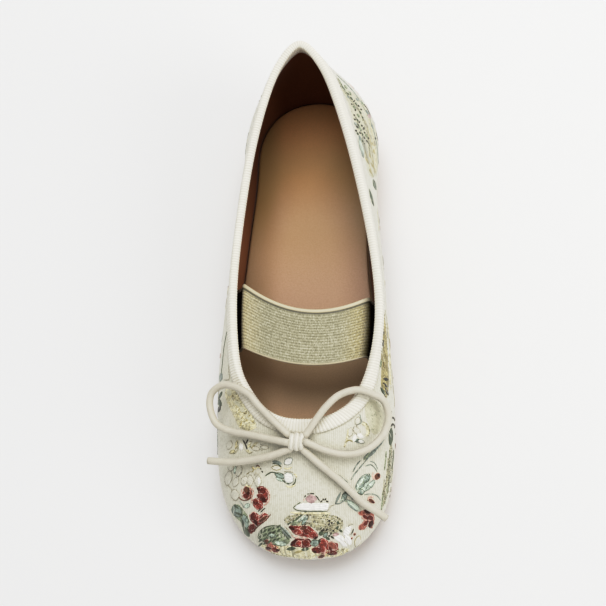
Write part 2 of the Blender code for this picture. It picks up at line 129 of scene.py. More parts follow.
MEDIAL_TAIL = [
    (2.7, -3.1, -1.3), (8.5, -8, -2.4), (15.5, -13.5, -5), (22.5, -20, -9), (27.5, -23, -11.8),
    (31, -25.2, -13.8),
]


# Rows of points


def unit(vectors):
    """The same directions with a length of one."""
    return vectors / np.linalg.norm(vectors, axis=-1, keepdims=True)


def ring_steps(points):
    """The distance from each point of a closed row to the next."""
    return np.linalg.norm(np.roll(points, -1, axis=0) - points, axis=1)


def run_along(points):
    """How far along an open row of points each one is."""
    return np.append(0.0, np.cumsum(np.linalg.norm(np.diff(points, axis=0), axis=1)))


def points_at(places, run, points):
    """Points at these distances along a row of points."""
    return np.column_stack([np.interp(places, run, points[:, k]) for k in range(3)])


def smooth_points(points, closed=False, pieces=5):
    """A rounder row of points through these."""
    points = np.array(points, float)
    if closed:
        ends = np.vstack([points[-1], points, points[0], points[1]])
    else:
        ends = np.vstack([2 * points[0] - points[1], points, 2 * points[-1] - points[-2]])
    fine = []
    for a, b, c, d in zip(ends, ends[1:], ends[2:], ends[3:]):
        for t in np.linspace(0, 1, pieces, endpoint=False):
            bend = 2 * a - 5 * b + 4 * c - d
            fine.append(0.5 * (2 * b + (c - a) * t + bend * t**2 + (3 * b - a - 3 * c + d) * t**3))
    return np.array(fine if closed else fine + [points[-1]])


# The wall of the shoe as a function of places round it and heights up it

FINE = 80  # points that measure a spoke's length
SMALL = 5e-4  # a short way round the shoe, to read directions from
SEAM_STEP = 1e-4  # a shorter one, for the sole's seam
PLAN_SPOKES = 384  # places round the shoe that find its middle


def sole_top(y):
    """Height of the sole's upper face along the shoe."""
    ramp = np.clip((np.asarray(y) - TREAD_BACK) / (SEAT_FRONT - TREAD_BACK), 0.0, 1.0)
    ramp = ramp * ramp * (3 - 2 * ramp)
    toe = np.clip((TREAD_FRONT - np.asarray(y)) / (LENGTH / 2 + TREAD_FRONT), 0.0, 1.0)
    return FOREPART + (HEEL_SEAT - FOREPART) * ramp + TOE_SPRING * toe**2


def sole_bottom(y):
    """Height of the sole's under face along the shoe."""
    if y >= HEEL_BREAST + HEEL_BREAST_RUN:
        return 0.0
    raised = max(0.0, float(sole_top(y)) - SHANK_THICKNESS)
    if y > HEEL_BREAST:
        return raised * (HEEL_BREAST + HEEL_BREAST_RUN - y) / HEEL_BREAST_RUN
    if TREAD_FRONT <= y <= TREAD_BACK:
        return 0.0
    return raised - max(0.0, FOREPART - SHANK_THICKNESS)


def closed_spline(rows, at):
    """A smooth closed curve through the rows, read at places from 0 to 1 round it."""
    rows = np.asarray(rows, float)
    count = len(rows)
    steps = ring_steps(rows[:, :2])
    steps = steps / steps.sum()
    knots = np.append(0.0, np.cumsum(steps))
    system = np.zeros((count, count))
    slopes = (np.roll(rows, -1, axis=0) - rows) / steps[:, None]
    right = np.zeros_like(rows)
    for i in range(count):
        before = steps[i - 1]
        system[i, i - 1] += before
        system[i, i] += 2 * (before + steps[i])
        system[i, (i + 1) % count] += steps[i]
        right[i] = 6 * (slopes[i] - slopes[i - 1])
    bends = np.linalg.solve(system, right)
    at = np.mod(np.asarray(at, float), 1.0)
    i = np.clip(np.searchsorted(knots, at, side="right") - 1, 0, count - 1)
    j = (i + 1) % count
    step = steps[i][:, None]
    b = (at - knots[i])[:, None] / step
    a = 1 - b
    cubic = ((a**3 - a) * bends[i] + (b**3 - b) * bends[j]) * step**2 / 6
    return a * rows[i] + b * rows[j] + cubic


def section_sizes():
    """The section table in millimetres."""
    rows = []
    for s in SECTIONS:
        rim_z = INSTEP_HEIGHT + s.rim_lift * (HEEL_HEIGHT - INSTEP_HEIGHT)
        foot = [s.foot_across * BALL_WIDTH, s.foot_along * LENGTH]
        rim = [s.rim_across * BALL_WIDTH, s.rim_along * LENGTH, rim_z]
        rows.append(foot + [s.flare, s.rise] + rim + [s.reach, s.drop])
    return rows


def outward(around):
    """The plan direction that points away from the shoe, at places round the sole's seam."""
    sizes = section_sizes()
    before, after = (closed_spline(sizes, around + step)[:, :2] for step in (-SEAM_STEP, SEAM_STEP))
    run = unit(after - before)
    return np.stack([run[:, 1], -run[:, 0]], axis=1)


def wall_curves(around):
    """Points up the outside of the wall for each place round the shoe, in the sections' own frame."""
    sizes = closed_spline(section_sizes(), around)
    seam, flare, rise, rim, reach, drop = np.split(sizes, (2, 3, 4, 7, 8), axis=1)
    away = outward(around)
    foot = np.column_stack([seam, sole_top(seam[:, 1]) + GAP])
    lower = foot + np.column_stack([away * flare, rise])
    upper = rim + np.column_stack([away * reach, -drop])
    foot, lower, upper, rim = (h[:, None, :] for h in (foot, lower, upper, rim))
    t = np.linspace(0, 1, FINE)[None, :, None]
    return foot * (1 - t) ** 3 + 3 * lower * t * (1 - t) ** 2 + 3 * upper * t**2 * (1 - t) + rim * t**3


def plan_centre():
    """Middle of the shoe in the sections' frame, which is the origin of every piece."""
    curves = wall_curves(np.linspace(0, 1, PLAN_SPOKES, endpoint=False)).reshape(-1, 3)
    return np.append((curves.min(axis=0)[:2] + curves.max(axis=0)[:2]) / 2, 0.0)


CENTRE = plan_centre()


def section_place(number):
    """The place round the shoe, from 0 to 1, of a section counted from the heel's back."""
    steps = ring_steps(np.array(section_sizes())[:, :2])
    return np.interp(number, np.arange(len(steps) + 1), np.append(0, np.cumsum(steps)) / steps.sum())


def wall_grid(around, below_rim=None, share=None):
    """(points, normals) on the outside of the wall, a row of places round it for each height.

    A height is below_rim, in millimetres down the wall from the opening, or share, from 0 at the
    sole to 1 at the opening. Heights above the rim carry straight on.
    """
    curves = [wall_curves(around + shift) - CENTRE for shift in (0.0, -SMALL, SMALL)]
    runs = np.linalg.norm(np.diff(curves[0], axis=1), axis=2)
    lengths = np.concatenate([np.zeros((len(around), 1)), np.cumsum(runs, axis=1)], axis=1)
    total = lengths[:, -1]
    spokes = np.arange(len(around))
    points, normals = [], []
    for height in share if share is not None else below_rim:
        want = height * total if share is not None else total - height
        inside = np.clip(want, 0.0, total)
        k = np.clip((lengths <= inside[:, None]).sum(axis=1) - 1, 0, FINE - 2)
        part = ((inside - lengths[spokes, k]) / runs[spokes, k])[:, None]
        here, before, after = (c[spokes, k] * (1 - part) + c[spokes, k + 1] * part for c in curves)
        up = unit(curves[0][spokes, k + 1] - curves[0][spokes, k])
        points.append(here + up * (want - inside)[:, None])
        normals.append(unit(np.cross(after - before, up)))
    return np.array(points), np.array(normals)


# Meshes

MOST_SIDES = 4  # faces with more are the filled ends of a loft, which stay flat


def link_object(name, data):
    """A new object in the scene."""
    made = bpy.data.objects.new(name, data)
    bpy.context.scene.collection.objects.link(made)
    return made


def make_piece(name, points, faces, material, uv=None):
    """A smooth object from points in millimetres, with a flat map for each point or each corner."""
    mesh = bpy.data.meshes.new(name)
    mesh.from_pydata((np.asarray(points) * METRES).tolist(), [], faces)
    if uv is not None:
        corners = np.empty(len(mesh.loops), np.int32)
        mesh.loops.foreach_get("vertex_index", corners)
        layer = mesh.uv_layers.new(name="cloth")
        uv = np.asarray(uv, np.float32)
        layer.data.foreach_set("uv", (uv if len(uv) == len(corners) else uv[corners]).ravel())
    mesh.update()
    for face in mesh.polygons:
        face.use_smooth = face.loop_total <= MOST_SIDES
    mesh.materials.append(material)
    return link_object(name, mesh)


def ring_faces(count, around):
    """Faces of a closed ring whose section is closed too."""
    faces = []
    for k in range(count):
        for n in range(around):
            m, after = (n + 1) % around, (k + 1) % count
            faces.append((k * around + n, k * around + m, after * around + m, after * around + n))
    return faces


def loft_faces(count, corners):
    """Faces through closed sections in a row, with both ends filled."""
    last = (count - 1) * corners
    ends = [tuple(reversed(range(corners))), tuple(range(last, last + corners))]
    return ends + ring_faces(count, corners)[:last]


def flat_map(first, second):
    """A flat map for each point of a grid, from values along its rows and columns."""
    return np.stack(np.broadcast_arrays(first, second), axis=2).reshape(-1, 2)


def set_point_values(piece, name, values):
    """A number for each point of a piece, for its geometry nodes to read."""
    attribute = piece.data.attributes.new(name, "FLOAT", "POINT")
    attribute.data.foreach_set("value", np.asarray(values, np.float32))


# Shader building blocks


def colour(code):
    """A colour from its six hexadecimal digits, as light."""
    shares = [int(code[i : i + 2], 16) / 255 for i in (0, 2, 4)]
    light = [s / 12.92 if s <= 0.04045 else ((s + 0.055) / 1.055) ** 2.4 for s in shares]
    return (*light, 1)


class Nodes:
    """Short words for building a node tree."""

    def __init__(self, tree):
        self.tree = tree

    def add(self, kind, settings=None, **inputs):
        """A node of this kind with its settings, and its inputs linked or set by name."""
        node = self.tree.nodes.new(kind)
        for name, value in (settings or {}).items():
            setattr(node, name, value)
        for name, value in inputs.items():
            self.put(node, name.replace("_", " "), value)
        return node

    def put(self, node, name, value):
        """Links or sets an input, by its name or number. A colour may be given by its six digits."""
        socket = node.inputs[int(name)] if name.isdigit() else node.inputs[name]
        if isinstance(value, bpy.types.NodeSocket):
            self.tree.links.new(value, socket)
        elif isinstance(value, str) and socket.type == "RGBA":
            socket.default_value = colour(value)
        else:
            socket.default_value = value

    def row(self, kind, settings, values):
        """A node of this kind with its first inputs in order."""
        node = self.add(kind, settings)
        for index, value in enumerate(values):
            self.put(node, str(index), value)
        return node

    def group(self, tree, **inputs):
        return self.add("ShaderNodeGroup", {"node_tree": tree}, **inputs)

    def math(self, operation, *values):
        return self.row("ShaderNodeMath", {"operation": operation}, values).outputs[0]

    def mix(self, share, first, second):
        """A colour between two, by a share from 0 to 1."""
        node = self.add("ShaderNodeMix", {"data_type": "RGBA"})
        for name, value in (("0", share), ("6", first), ("7", second)):
            self.put(node, name, value)
        return node.outputs[2]

    def ramp(self, value, low, high, bottom=0.0, top=1.0):
        """A value eased from bottom to top as the first value goes from low to high."""
        eased = {"interpolation_type": "SMOOTHSTEP"}
        return self.row("ShaderNodeMapRange", eased, (value, low, high, bottom, top)).outputs[0]

    def scaled(self, vector, factor):
        node = self.row("ShaderNodeVectorMath", {"operation": "SCALE"}, (vector,))
        self.put(node, "Scale", factor)
        return node.outputs["Vector"]

    def snapped(self, vector, steps):
        """The corner of the cell that a place lies in."""
        return self.row("ShaderNodeVectorMath", {"operation": "SNAP"}, (vector, steps)).outputs[0]

    def split(self, vector):
        return self.add("ShaderNodeSeparateXYZ", Vector=vector).outputs

    def noise(self, place, scale, detail):
        return self.add("ShaderNodeTexNoise", Vector=place, Scale=scale, Detail=detail).outputs["Fac"]

    def chance(self, cell):
        """The outputs of a random value and colour for each cell."""
        return self.add("ShaderNodeTexWhiteNoise", {"noise_dimensions": "2D"}, Vector=cell).outputs

    def crests(self, turns):
        """Rounded ridges, one for each turn."""
        return self.math("ABSOLUTE", self.math("SINE", self.math("MULTIPLY", turns, math.pi)))


def new_group(name, inputs, outputs):
    """A shader node group with named sockets, its nodes, and its input and output nodes."""
    tree = bpy.data.node_groups.new(name, "ShaderNodeTree")
    for socket, kind, value in inputs:
        made = tree.interface.new_socket(socket, in_out="INPUT", socket_type=kind)
        made.default_value = value
    for socket, kind in outputs:
        tree.interface.new_socket(socket, in_out="OUTPUT", socket_type=kind)
    build = Nodes(tree)
    return tree, build, build.add("NodeGroupInput").outputs, build.add("NodeGroupOutput")


FLOAT, COLOUR, VECTOR = "NodeSocketFloat", "NodeSocketColor", "NodeSocketVector"
STITCH = (0.46, 0.7)  # width and length of one stitch of the woven flowers
STITCH_VALLEY_SHADE = 0.2  # painted shade: how much darker it is between stitches
STITCH_BARE = 0.5  # how far the ground shows through a bare one


def thread_group():
    """Stitches lying in rows across a flat map in millimetres, each a little lighter or darker, with
    the ground showing through some of them and painted shade between them."""
    tree, build, given, result = new_group(
        "lying threads",
        [
            ("Place", VECTOR, (0, 0, 0)),
            ("Colour", COLOUR, (1, 1, 1, 1)),
            ("Ground", COLOUR, (1, 1, 1, 1)),
            ("Bare", FLOAT, 0.1),
            ("Uneven", FLOAT, 0.6),
        ],
        [("Colour", COLOUR), ("Height", FLOAT)],
    )
    crest = build.crests(build.math("DIVIDE", build.split(given["Place"])[0], STITCH[0]))
    chance = build.chance(build.snapped(given["Place"], (*STITCH, 1.0)))
    shares = build.add("ShaderNodeSeparateColor", Color=chance["Color"]).outputs
    slub = build.noise(given["Place"], scale=0.6, detail=2.0)
    light = build.math("SUBTRACT", build.math("ADD", shares[0], slub), 1.0)
    light = build.math("MULTIPLY", light, given["Uneven"])
    valley_shade = build.math("MULTIPLY", build.math("SUBTRACT", 1.0, crest), STITCH_VALLEY_SHADE)
    bright = build.math("ADD", 1.0, build.math("SUBTRACT", light, valley_shade))
    bare = build.math("LESS_THAN", shares[1], given["Bare"])
    bare = build.math("MULTIPLY", bare, STITCH_BARE)
    build.put(result, "Colour", build.mix(bare, build.scaled(given["Colour"], bright), given["Ground"]))
    build.put(result, "Height", crest)
    return tree


WEAVE_SWAY = 0.6  # how far the ribs of a weave wander
WEAVE_CROSS = 0.45  # how much of a weave's height its cross threads make


def weave_group():
    """A plain weave on a flat map in millimetres: ribs one way, crossed by finer threads."""
    tree, build, given, result = new_group(
        "plain weave",
        [("Place", VECTOR, (0, 0, 0)), ("Rib Pitch", FLOAT, 0.6), ("Cross Pitch", FLOAT, 0.4)],
        [("Height", FLOAT), ("Uneven", FLOAT), ("Stitch", FLOAT)],
    )
    place = build.split(given["Place"])
    drift = build.noise(given["Place"], scale=0.25, detail=2.0)
    sway = build.math("MULTIPLY", build.math("SUBTRACT", drift, 0.5), WEAVE_SWAY)
    rib = build.math("DIVIDE", build.math("ADD", place[0], sway), given["Rib Pitch"])
    cross = build.math("DIVIDE", place[1], given["Cross Pitch"])
    odd = build.math("MULTIPLY", build.math("MODULO", build.math("FLOOR", rib), 2.0), 0.5)
    cross_crest = build.crests(build.math("ADD", cross, odd))
    crossed = build.math("ADD", 1.0 - WEAVE_CROSS, build.math("MULTIPLY", cross_crest, WEAVE_CROSS))
    cell = build.add("ShaderNodeCombineXYZ", X=build.math("FLOOR", rib), Y=build.math("FLOOR", cross))
    build.put(result, "Height", build.math("MULTIPLY", build.crests(rib), crossed))
    build.put(result, "Uneven", drift)
    build.put(result, "Stitch", build.chance(cell.outputs[0])["Value"])
    return tree


LYING_THREADS = thread_group()
PLAIN_WEAVE = weave_group()
SHEEN_ROUGHNESS = 0.4


def new_material(name, roughness, sheen=0.0, specular=0.5):
    """A material, its node words and its shader with the values that hold all over."""
    material = bpy.data.materials.new(name)
    material.use_nodes = True
    shader = material.node_tree.nodes["Principled BSDF"]
    shader.inputs["Roughness"].default_value = roughness
    shader.inputs["Sheen Weight"].default_value = sheen
    shader.inputs["Sheen Roughness"].default_value = SHEEN_ROUGHNESS
    shader.inputs["Specular IOR Level"].default_value = specular
    return material, Nodes(material.node_tree), shader


def add_bump(build, shader, height, depth, strength=1.0):
    """Relief of this depth in millimetres on a shader."""
    bump = build.add("ShaderNodeBump", Strength=strength, Distance=depth * METRES, Height=height)
    build.put(shader, "Normal", bump.outputs["Normal"])


def cloth_place(build):
    """The piece's own flat map, which is in millimetres."""
    return build.add("ShaderNodeUVMap", {"uv_map": "cloth"}).outputs["UV"]


def object_place(build):
    """Object coordinates in millimetres."""
    return build.scaled(build.add("ShaderNodeTexCoord").outputs["Object"], 1.0 / METRES)


# Materials

ECRU = "DAD8CB"  # the brocade's ground


def brocade_material():
    """Ecru satin ground with fine ribs along the shoe, painted darker in the weave's hollows as shade."""
    material, build, shader = new_material("brocade ground", roughness=0.5, sheen=0.25, specular=0.35)
    weave = build.group(PLAIN_WEAVE, Place=cloth_place(build), Rib_Pitch=0.75, Cross_Pitch=0.5).outputs
    ground = build.mix(build.noise(object_place(build), scale=0.07, detail=3.0), ECRU, "D1CEC0")
    odd = build.ramp(weave["Stitch"], low=0.4, high=1.0, top=0.45)
    ground = build.mix(odd, ground, "C1BEB0")
    # Painted shade in the weave's hollows
    deep = build.ramp(weave["Height"], low=0.0, high=0.6, bottom=0.4, top=0.0)
    build.put(shader, "Base Color", build.mix(deep, ground, "B6B2A1"))
    add_bump(build, shader, weave["Height"], depth=0.07)
    return material


# Tones of the sock and of the lining, each with its distance along the shoe. They paint the light and shade
# that fall inside the shoe from the throat to the heel, and the lining's darker tones paint the shade inside
# the wall
SOCK_LIGHT_AND_SHADE_TONES = [
    (-30.0, "DABF9D"), (5.0, "D1B59C"), (35.0, "C2A786"), (62.0, "BE9B6C"), (86.0, "D9A673"),
]
LINING_SHADE_TONES = [(5.0, "704A34"), (35.0, "6A452F"), (70.0, "66361C")]
PAINTED_SIDE_ALONG = (15.0, 50.0)  # where the lateral side's painted light and shade goes from the waist's tone to the heel's
PAINTED_SIDE_ACROSS = (-10.0, -20.0)  # where the tones along the middle give way to the lateral side's painted light and shade


def leatherette_material(name, light_and_shade_tones, side, side_heel_light_and_shade):
    """Smooth leatherette with a fine pebbled grain.

    Its tones follow one another along the shoe, each at its distance from the middle, and its lateral
    side has its own, one for the waist and one for the heel. All of these are painted light and shade
    over the leatherette's colour.
    """
    material, build, shader = new_material(name, roughness=0.55, sheen=0.1, specular=0.35)
    where = object_place(build)
    across, along, _ = build.split(where)
    tone = light_and_shade_tones[0][1]
    # Painted light and shade along the shoe, then on the lateral side
    for (start, _), (end, code) in zip(light_and_shade_tones, light_and_shade_tones[1:]):
        tone = build.mix(build.ramp(along, start, end), tone, code)
    edge = build.mix(build.ramp(along, *PAINTED_SIDE_ALONG), side, side_heel_light_and_shade)
    tone = build.mix(build.ramp(across, *PAINTED_SIDE_ACROSS), tone, edge)
    fine = build.noise(where, scale=1.6, detail=3.0)
    speck = build.ramp(fine, low=0.35, high=0.65, bottom=0.16, top=0.0)
    build.put(shader, "Base Color", build.mix(speck, tone, side_heel_light_and_shade))
    pebbles = build.add("ShaderNodeTexVoronoi", Vector=where, Scale=2.0)
    add_bump(build, shader, pebbles.outputs["Distance"], depth=0.05, strength=0.5)
    return material


# Plain woven cloths: their light and dark tones, the painted shade in their hollows, the pitch of their
# ribs and cross threads, how high that painted shade reaches and how much of it shows, the relief's
# depth, and the surface
Woven = namedtuple("Woven", "light dark hollow rib cross height share depth roughness sheen specular")
WOVEN = {
    "cream grosgrain": Woven("EAE7DC", "E2DED1", "C6C0AE", 1.05, 0.35, 0.5, 0.5, 0.05, 0.6, 0.3, 0.3),
    "satin cord": Woven("D5D0C3", "C7C2B4", "A49E8F", 0.5, 0.6, 0.6, 0.35, 0.06, 0.5, 0.25, 0.4),
    # the cord's tones painted lighter for the knot, as lit from above
    "satin cord painted lighter": Woven("E6E2D7", "DAD6C9", "BFBAAC", 0.5, 0.6, 0.6, 0.35, 0.06, 0.5, 0.25, 0.4),
}


def woven_material(name):
    """A plain woven cloth: the grosgrain's cross threads, or the slanting weave of a cord."""
    cloth = WOVEN[name]
    material, build, shader = new_material(name, cloth.roughness, cloth.sheen, cloth.specular)
    place = cloth_place(build)
    weave = build.group(PLAIN_WEAVE, Place=place, Rib_Pitch=cloth.rib, Cross_Pitch=cloth.cross).outputs
    tone = build.mix(weave["Uneven"], cloth.light, cloth.dark)
    # Painted shade in the weave's hollows
    deep = build.ramp(weave["Height"], low=0.0, high=cloth.height, bottom=cloth.share, top=0.0)
    build.put(shader, "Base Color", build.mix(deep, tone, cloth.hollow))
    add_bump(build, shader, weave["Height"], cloth.depth)
    return material


STRAP_PITCH = 1.05  # of the elastic's lengthwise ribs
STRAP_BEND = 26.0  # from its middle to the shoulders, where it turns down into the shoe
SELVAGE = 1.3  # width of its plain back edge
ELASTIC_SPECULAR = 0.55
ELASTIC_SHEEN = 0.15
GLINT = 0.35  # length of one stitch, some of which carry a painted glint
DARK_LINE = (0.95, 0.6)  # where the line inside the plain edge begins and is full, from that edge
DARK_LINE_SHARE = 0.85
BACK_EDGE = (-0.15, 0.1)  # where the plain edge begins and is full
FRONT_EDGE = (0.8, 0.55)  # the same for the front, from the very edge
LATERAL_SHADE = (1.5, -1.5)  # where painted shade darkens the ends inside the shoe, from the shoulders
MEDIAL_SHADE = (-5.0, 1.5)
MEDIAL_SHADE_POWER = 1.6
EDGE_SHADE = 0.6  # how much of that the edges take
SHADE_RANGE = (0.2, 0.9)  # over which the gloss goes in the painted shade


def elastic_material():
    """Khaki-grey woven elastic with pale edges, its ribs painted darker in their hollows and dotted
    with painted glints. Its lateral end is painted lighter, as lit, and its medial end browner, as
    shaded. A dark line runs inside the back edge, and painted shade turns both ends near black where
    they go down into the shoe.
    """
    material, build, shader = new_material(
        "woven elastic", roughness=0.42, sheen=ELASTIC_SHEEN, specular=ELASTIC_SPECULAR
    )
    place = cloth_place(build)
    back, along, _ = build.split(place)
    weave = build.group(PLAIN_WEAVE, Place=place, Rib_Pitch=STRAP_PITCH, Cross_Pitch=0.6).outputs
    glint = build.chance(build.snapped(place, (STRAP_PITCH / 2, GLINT, 1.0)))["Value"]
    # The ribs' hollows are painted darker, as shade
    rib = build.ramp(weave["Height"], low=0.05, high=0.7)
    middle = build.mix(rib, "918D77", "A6A28B")
    # Painted light and shade at the ends: the lateral end lighter, as lit, the medial end browner, as shaded
    lit_lateral_end = build.mix(rib, "A49B7F", "C6BD9F")
    shaded_medial_end = build.mix(rib, "8C8260", "B0A57C")
    ends = build.ramp(build.math("ABSOLUTE", along), 0.5 * STRAP_BEND, STRAP_BEND)
    end = build.mix(build.ramp(along, -1.0, 1.0), lit_lateral_end, shaded_medial_end)
    body = build.mix(ends, middle, end)
    # Painted glints on some stitches, and other stitches darker at random
    body = build.mix(build.ramp(glint, low=0.55, high=1.0, top=0.4), body, "D2CFBE")
    body = build.mix(build.ramp(glint, low=0.3, high=0.0, top=0.35), body, "6A664F")
    inside = STRAP_WIDTH / 2 - SELVAGE
    line = build.ramp(back, *(inside - step for step in DARK_LINE))
    body = build.mix(build.math("MULTIPLY", line, DARK_LINE_SHARE), body, "5A5641")
    back_edge = build.ramp(back, *(inside + step for step in BACK_EDGE))
    front_edge = build.ramp(back, *(-STRAP_WIDTH / 2 + step for step in FRONT_EDGE))
    selvage = build.math("MAXIMUM", back_edge, front_edge)
    body = build.mix(selvage, body, "C5BDA6")
    # Painted shade: both ends turn near black where they go down into the shoe
    lateral = build.ramp(along, *(-STRAP_BEND + step for step in LATERAL_SHADE))
    medial = build.ramp(along, *(STRAP_BEND + step for step in MEDIAL_SHADE))
    painted_end_shade = build.math("MAXIMUM", lateral, build.math("POWER", medial, MEDIAL_SHADE_POWER))
    painted_end_shade = build.math("MULTIPLY", painted_end_shade, build.ramp(selvage, 0.0, 1.0, bottom=1.0, top=EDGE_SHADE))
    build.put(shader, "Base Color", build.mix(painted_end_shade, body, "1C140C"))
    specular = build.ramp(painted_end_shade, *SHADE_RANGE, bottom=ELASTIC_SPECULAR, top=0.05)
    build.put(shader, "Specular IOR Level", specular)
    build.put(shader, "Sheen Weight", build.ramp(painted_end_shade, *SHADE_RANGE, bottom=ELASTIC_SHEEN, top=0.0))
    add_bump(build, shader, weave["Height"], depth=0.07)
    return material


def rubber_material():
    """Tan moulded rubber with a fine matt grain."""
    material, build, shader = new_material("tan rubber", roughness=0.7, specular=0.3)
    where = object_place(build)
    cloudy = build.noise(where, scale=0.08, detail=4.0)
    build.put(shader, "Base Color", build.mix(cloudy, "A98D6B", "BFA383"))
    add_bump(build, shader, build.noise(where, scale=3.0, detail=2.0), depth=0.05, strength=0.6)
    return material


def thread_material(name, code):
    """Embroidery thread of one colour."""
    material, build, shader = new_material(name + " thread", roughness=0.42, sheen=0.2, specular=0.45)
    threads = build.group(
        LYING_THREADS,
        Place=cloth_place(build),
        Colour=code,
        Ground=ECRU,
        Bare=0.0 if name in DENSE else 0.08,
        Uneven=0.15 if name in PALE else 0.55,
    )
    build.put(shader, "Base Color", threads.outputs["Colour"])
    add_bump(build, shader, threads.outputs["Height"], depth=0.06)
    return material


# Geometry nodes: ribs of cloth, and flecks of thread


def geometry_tree(name, inputs):
    """A geometry tree with named inputs, its nodes, and its input and output nodes."""
    tree = bpy.data.node_groups.new(name, "GeometryNodeTree")
    tree.interface.new_socket("Geometry", in_out="INPUT", socket_type="NodeSocketGeometry")
    for socket, kind in inputs:
        tree.interface.new_socket(socket, in_out="INPUT", socket_type=kind)
    tree.interface.new_socket("Geometry", in_out="OUTPUT", socket_type="NodeSocketGeometry")
    build = Nodes(tree)
    return tree, build, build.add("NodeGroupInput").outputs, build.add("NodeGroupOutput")


def finish_tree(build, geometry, material, result):
    """Every tree ends with real faces that carry their material."""
    real = build.add("GeometryNodeRealizeInstances", Geometry=geometry)
    coated = build.add("GeometryNodeSetMaterial", Geometry=real.outputs[0], Material=material)
    build.put(result, "Geometry", coated.outputs[0])


def ribs_tree():
    """Raises rounded ribs on a mesh where its proud value says, spaced along its run value."""
    tree, build, given, result = geometry_tree(
        "cloth ribs", [("Pitch", FLOAT), ("Height", FLOAT), ("Material", "NodeSocketMaterial")]
    )
    run, proud = (
        build.add("GeometryNodeInputNamedAttribute", {"data_type": "FLOAT"}, Name=name).outputs["Attribute"]
        for name in ("run", "proud")
    )
    crest = build.crests(build.math("DIVIDE", run, given["Pitch"]))
    lift = build.math("MULTIPLY", build.math("MULTIPLY", crest, given["Height"]), proud)
    step = build.scaled(build.add("GeometryNodeInputNormal").outputs[0], lift)
    moved = build.add("GeometryNodeSetPosition", Geometry=given["Geometry"], Offset=step)
    finish_tree(build, moved.outputs[0], given["Material"], result)
    return tree


FLECK_SHAPE = (1.0, 0.5, 0.25)


def flecks_tree():
    """Scatters small flat flecks of thread over a mesh."""
    tree, build, given, result = geometry_tree(
        "thread flecks",
        [("Density", FLOAT), ("Size", FLOAT), ("Seed", "NodeSocketInt"), ("Material", "NodeSocketMaterial")],
    )
    spread = build.add(
        "GeometryNodeDistributePointsOnFaces",
        Mesh=given["Geometry"],
        Density=given["Density"],
        Seed=given["Seed"],
    )
    fleck = build.add("GeometryNodeMeshIcoSphere", Radius=given["Size"], Subdivisions=1)
    flat = build.add("GeometryNodeTransform", Geometry=fleck.outputs["Mesh"], Scale=FLECK_SHAPE)
    spin = build.add("FunctionNodeRandomValue", {"data_type": "FLOAT"}, Seed=given["Seed"])
    spin.inputs[2].default_value = 0.0
    spin.inputs[3].default_value = math.pi
    turn = build.add("ShaderNodeCombineXYZ", Z=spin.outputs[1])
    turned = build.add(
        "FunctionNodeRotateRotation",
        {"rotation_space": "LOCAL"},
        Rotation=spread.outputs["Rotation"],
        Rotate_By=turn.outputs[0],
    )
    placed = build.add(
        "GeometryNodeInstanceOnPoints",
        Points=spread.outputs["Points"],
        Instance=flat.outputs["Geometry"],
        Rotation=turned.outputs[0],
    )
    finish_tree(build, placed.outputs["Instances"], given["Material"], result)
    return tree


def apply_tree(piece, tree, **inputs):
    """Runs a geometry tree on a piece and keeps the plain mesh that it makes."""
    modifier = piece.modifiers.new(tree.name, "NODES")
    modifier.node_group = tree
    for socket in tree.interface.items_tree:
        if socket.in_out == "INPUT" and socket.name in inputs:
            modifier[socket.identifier] = inputs[socket.name]
    made = piece.evaluated_get(bpy.context.evaluated_depsgraph_get())
    mesh = bpy.data.meshes.new_from_object(made, depsgraph=bpy.context.evaluated_depsgraph_get())
    piece.modifiers.clear()
    old = piece.data
    mesh.name = old.name
    piece.data = mesh
    bpy.data.meshes.remove(old)
    return piece


# Pieces

UPPER_SPOKES = 400
UPPER_STEPS = 46
HIDDEN_STEPS = 6
CLOTH = 1.0  # the brocade's share of the wall; the lining has the rest
LINING_GAP = 0.02
SIDE_FACING = 0.72  # a face turned this far to a side is mapped from there

# Soft troughs (and ridges, where the depth is negative) in the cloth, from one section and share of
# the wall's height to another
Crease = namedtuple("Crease", "start start_share end end_share width depth")
CREASES = [
    Crease(0.0, 0.00, 0.0, 1.00, 0.8, 0.45),  # back seam
    Crease(7.4, 0.85, 8.7, 0.40, 3.5, 0.55),  # from the lateral corner of the throat
    Crease(8.0, 0.80, 9.3, 0.50, 3.0, -0.30),
    Crease(14.5, 0.85, 13.4, 0.40, 3.5, 0.55),  # from the medial corner of the throat
    Crease(14.0, 0.80, 12.9, 0.50, 3.0, -0.30),
    Crease(6.3, 0.60, 7.9, 0.18, 5.0, 0.70),  # where the lateral side bends
    Crease(15.2, 0.22, 16.6, 0.62, 5.0, 0.70),  # where the medial side bends
    Crease(9.4, 0.66, 12.6, 0.70, 6.0, 0.35),  # across the vamp
    Crease(2.6, 0.75, 4.2, 0.30, 6.0, 0.60),  # in front of the lateral counter
    Crease(19.6, 0.75, 18.0, 0.30, 6.0, 0.60),  # in front of the medial counter
]
CREASE_STEPS = 16
CREASE_END = 0.06  # the shallow end of a crease, as a share of its length
PUCKERS = 150  # gathers round the lasted edge
PUCKER_DEPTH = 0.16
PUCKER_REACH = 0.10  # how far up the wall they go, as a share of it
PUCKER_DRIFT = (1.7, 23)  # how far their spacing drifts, and how often


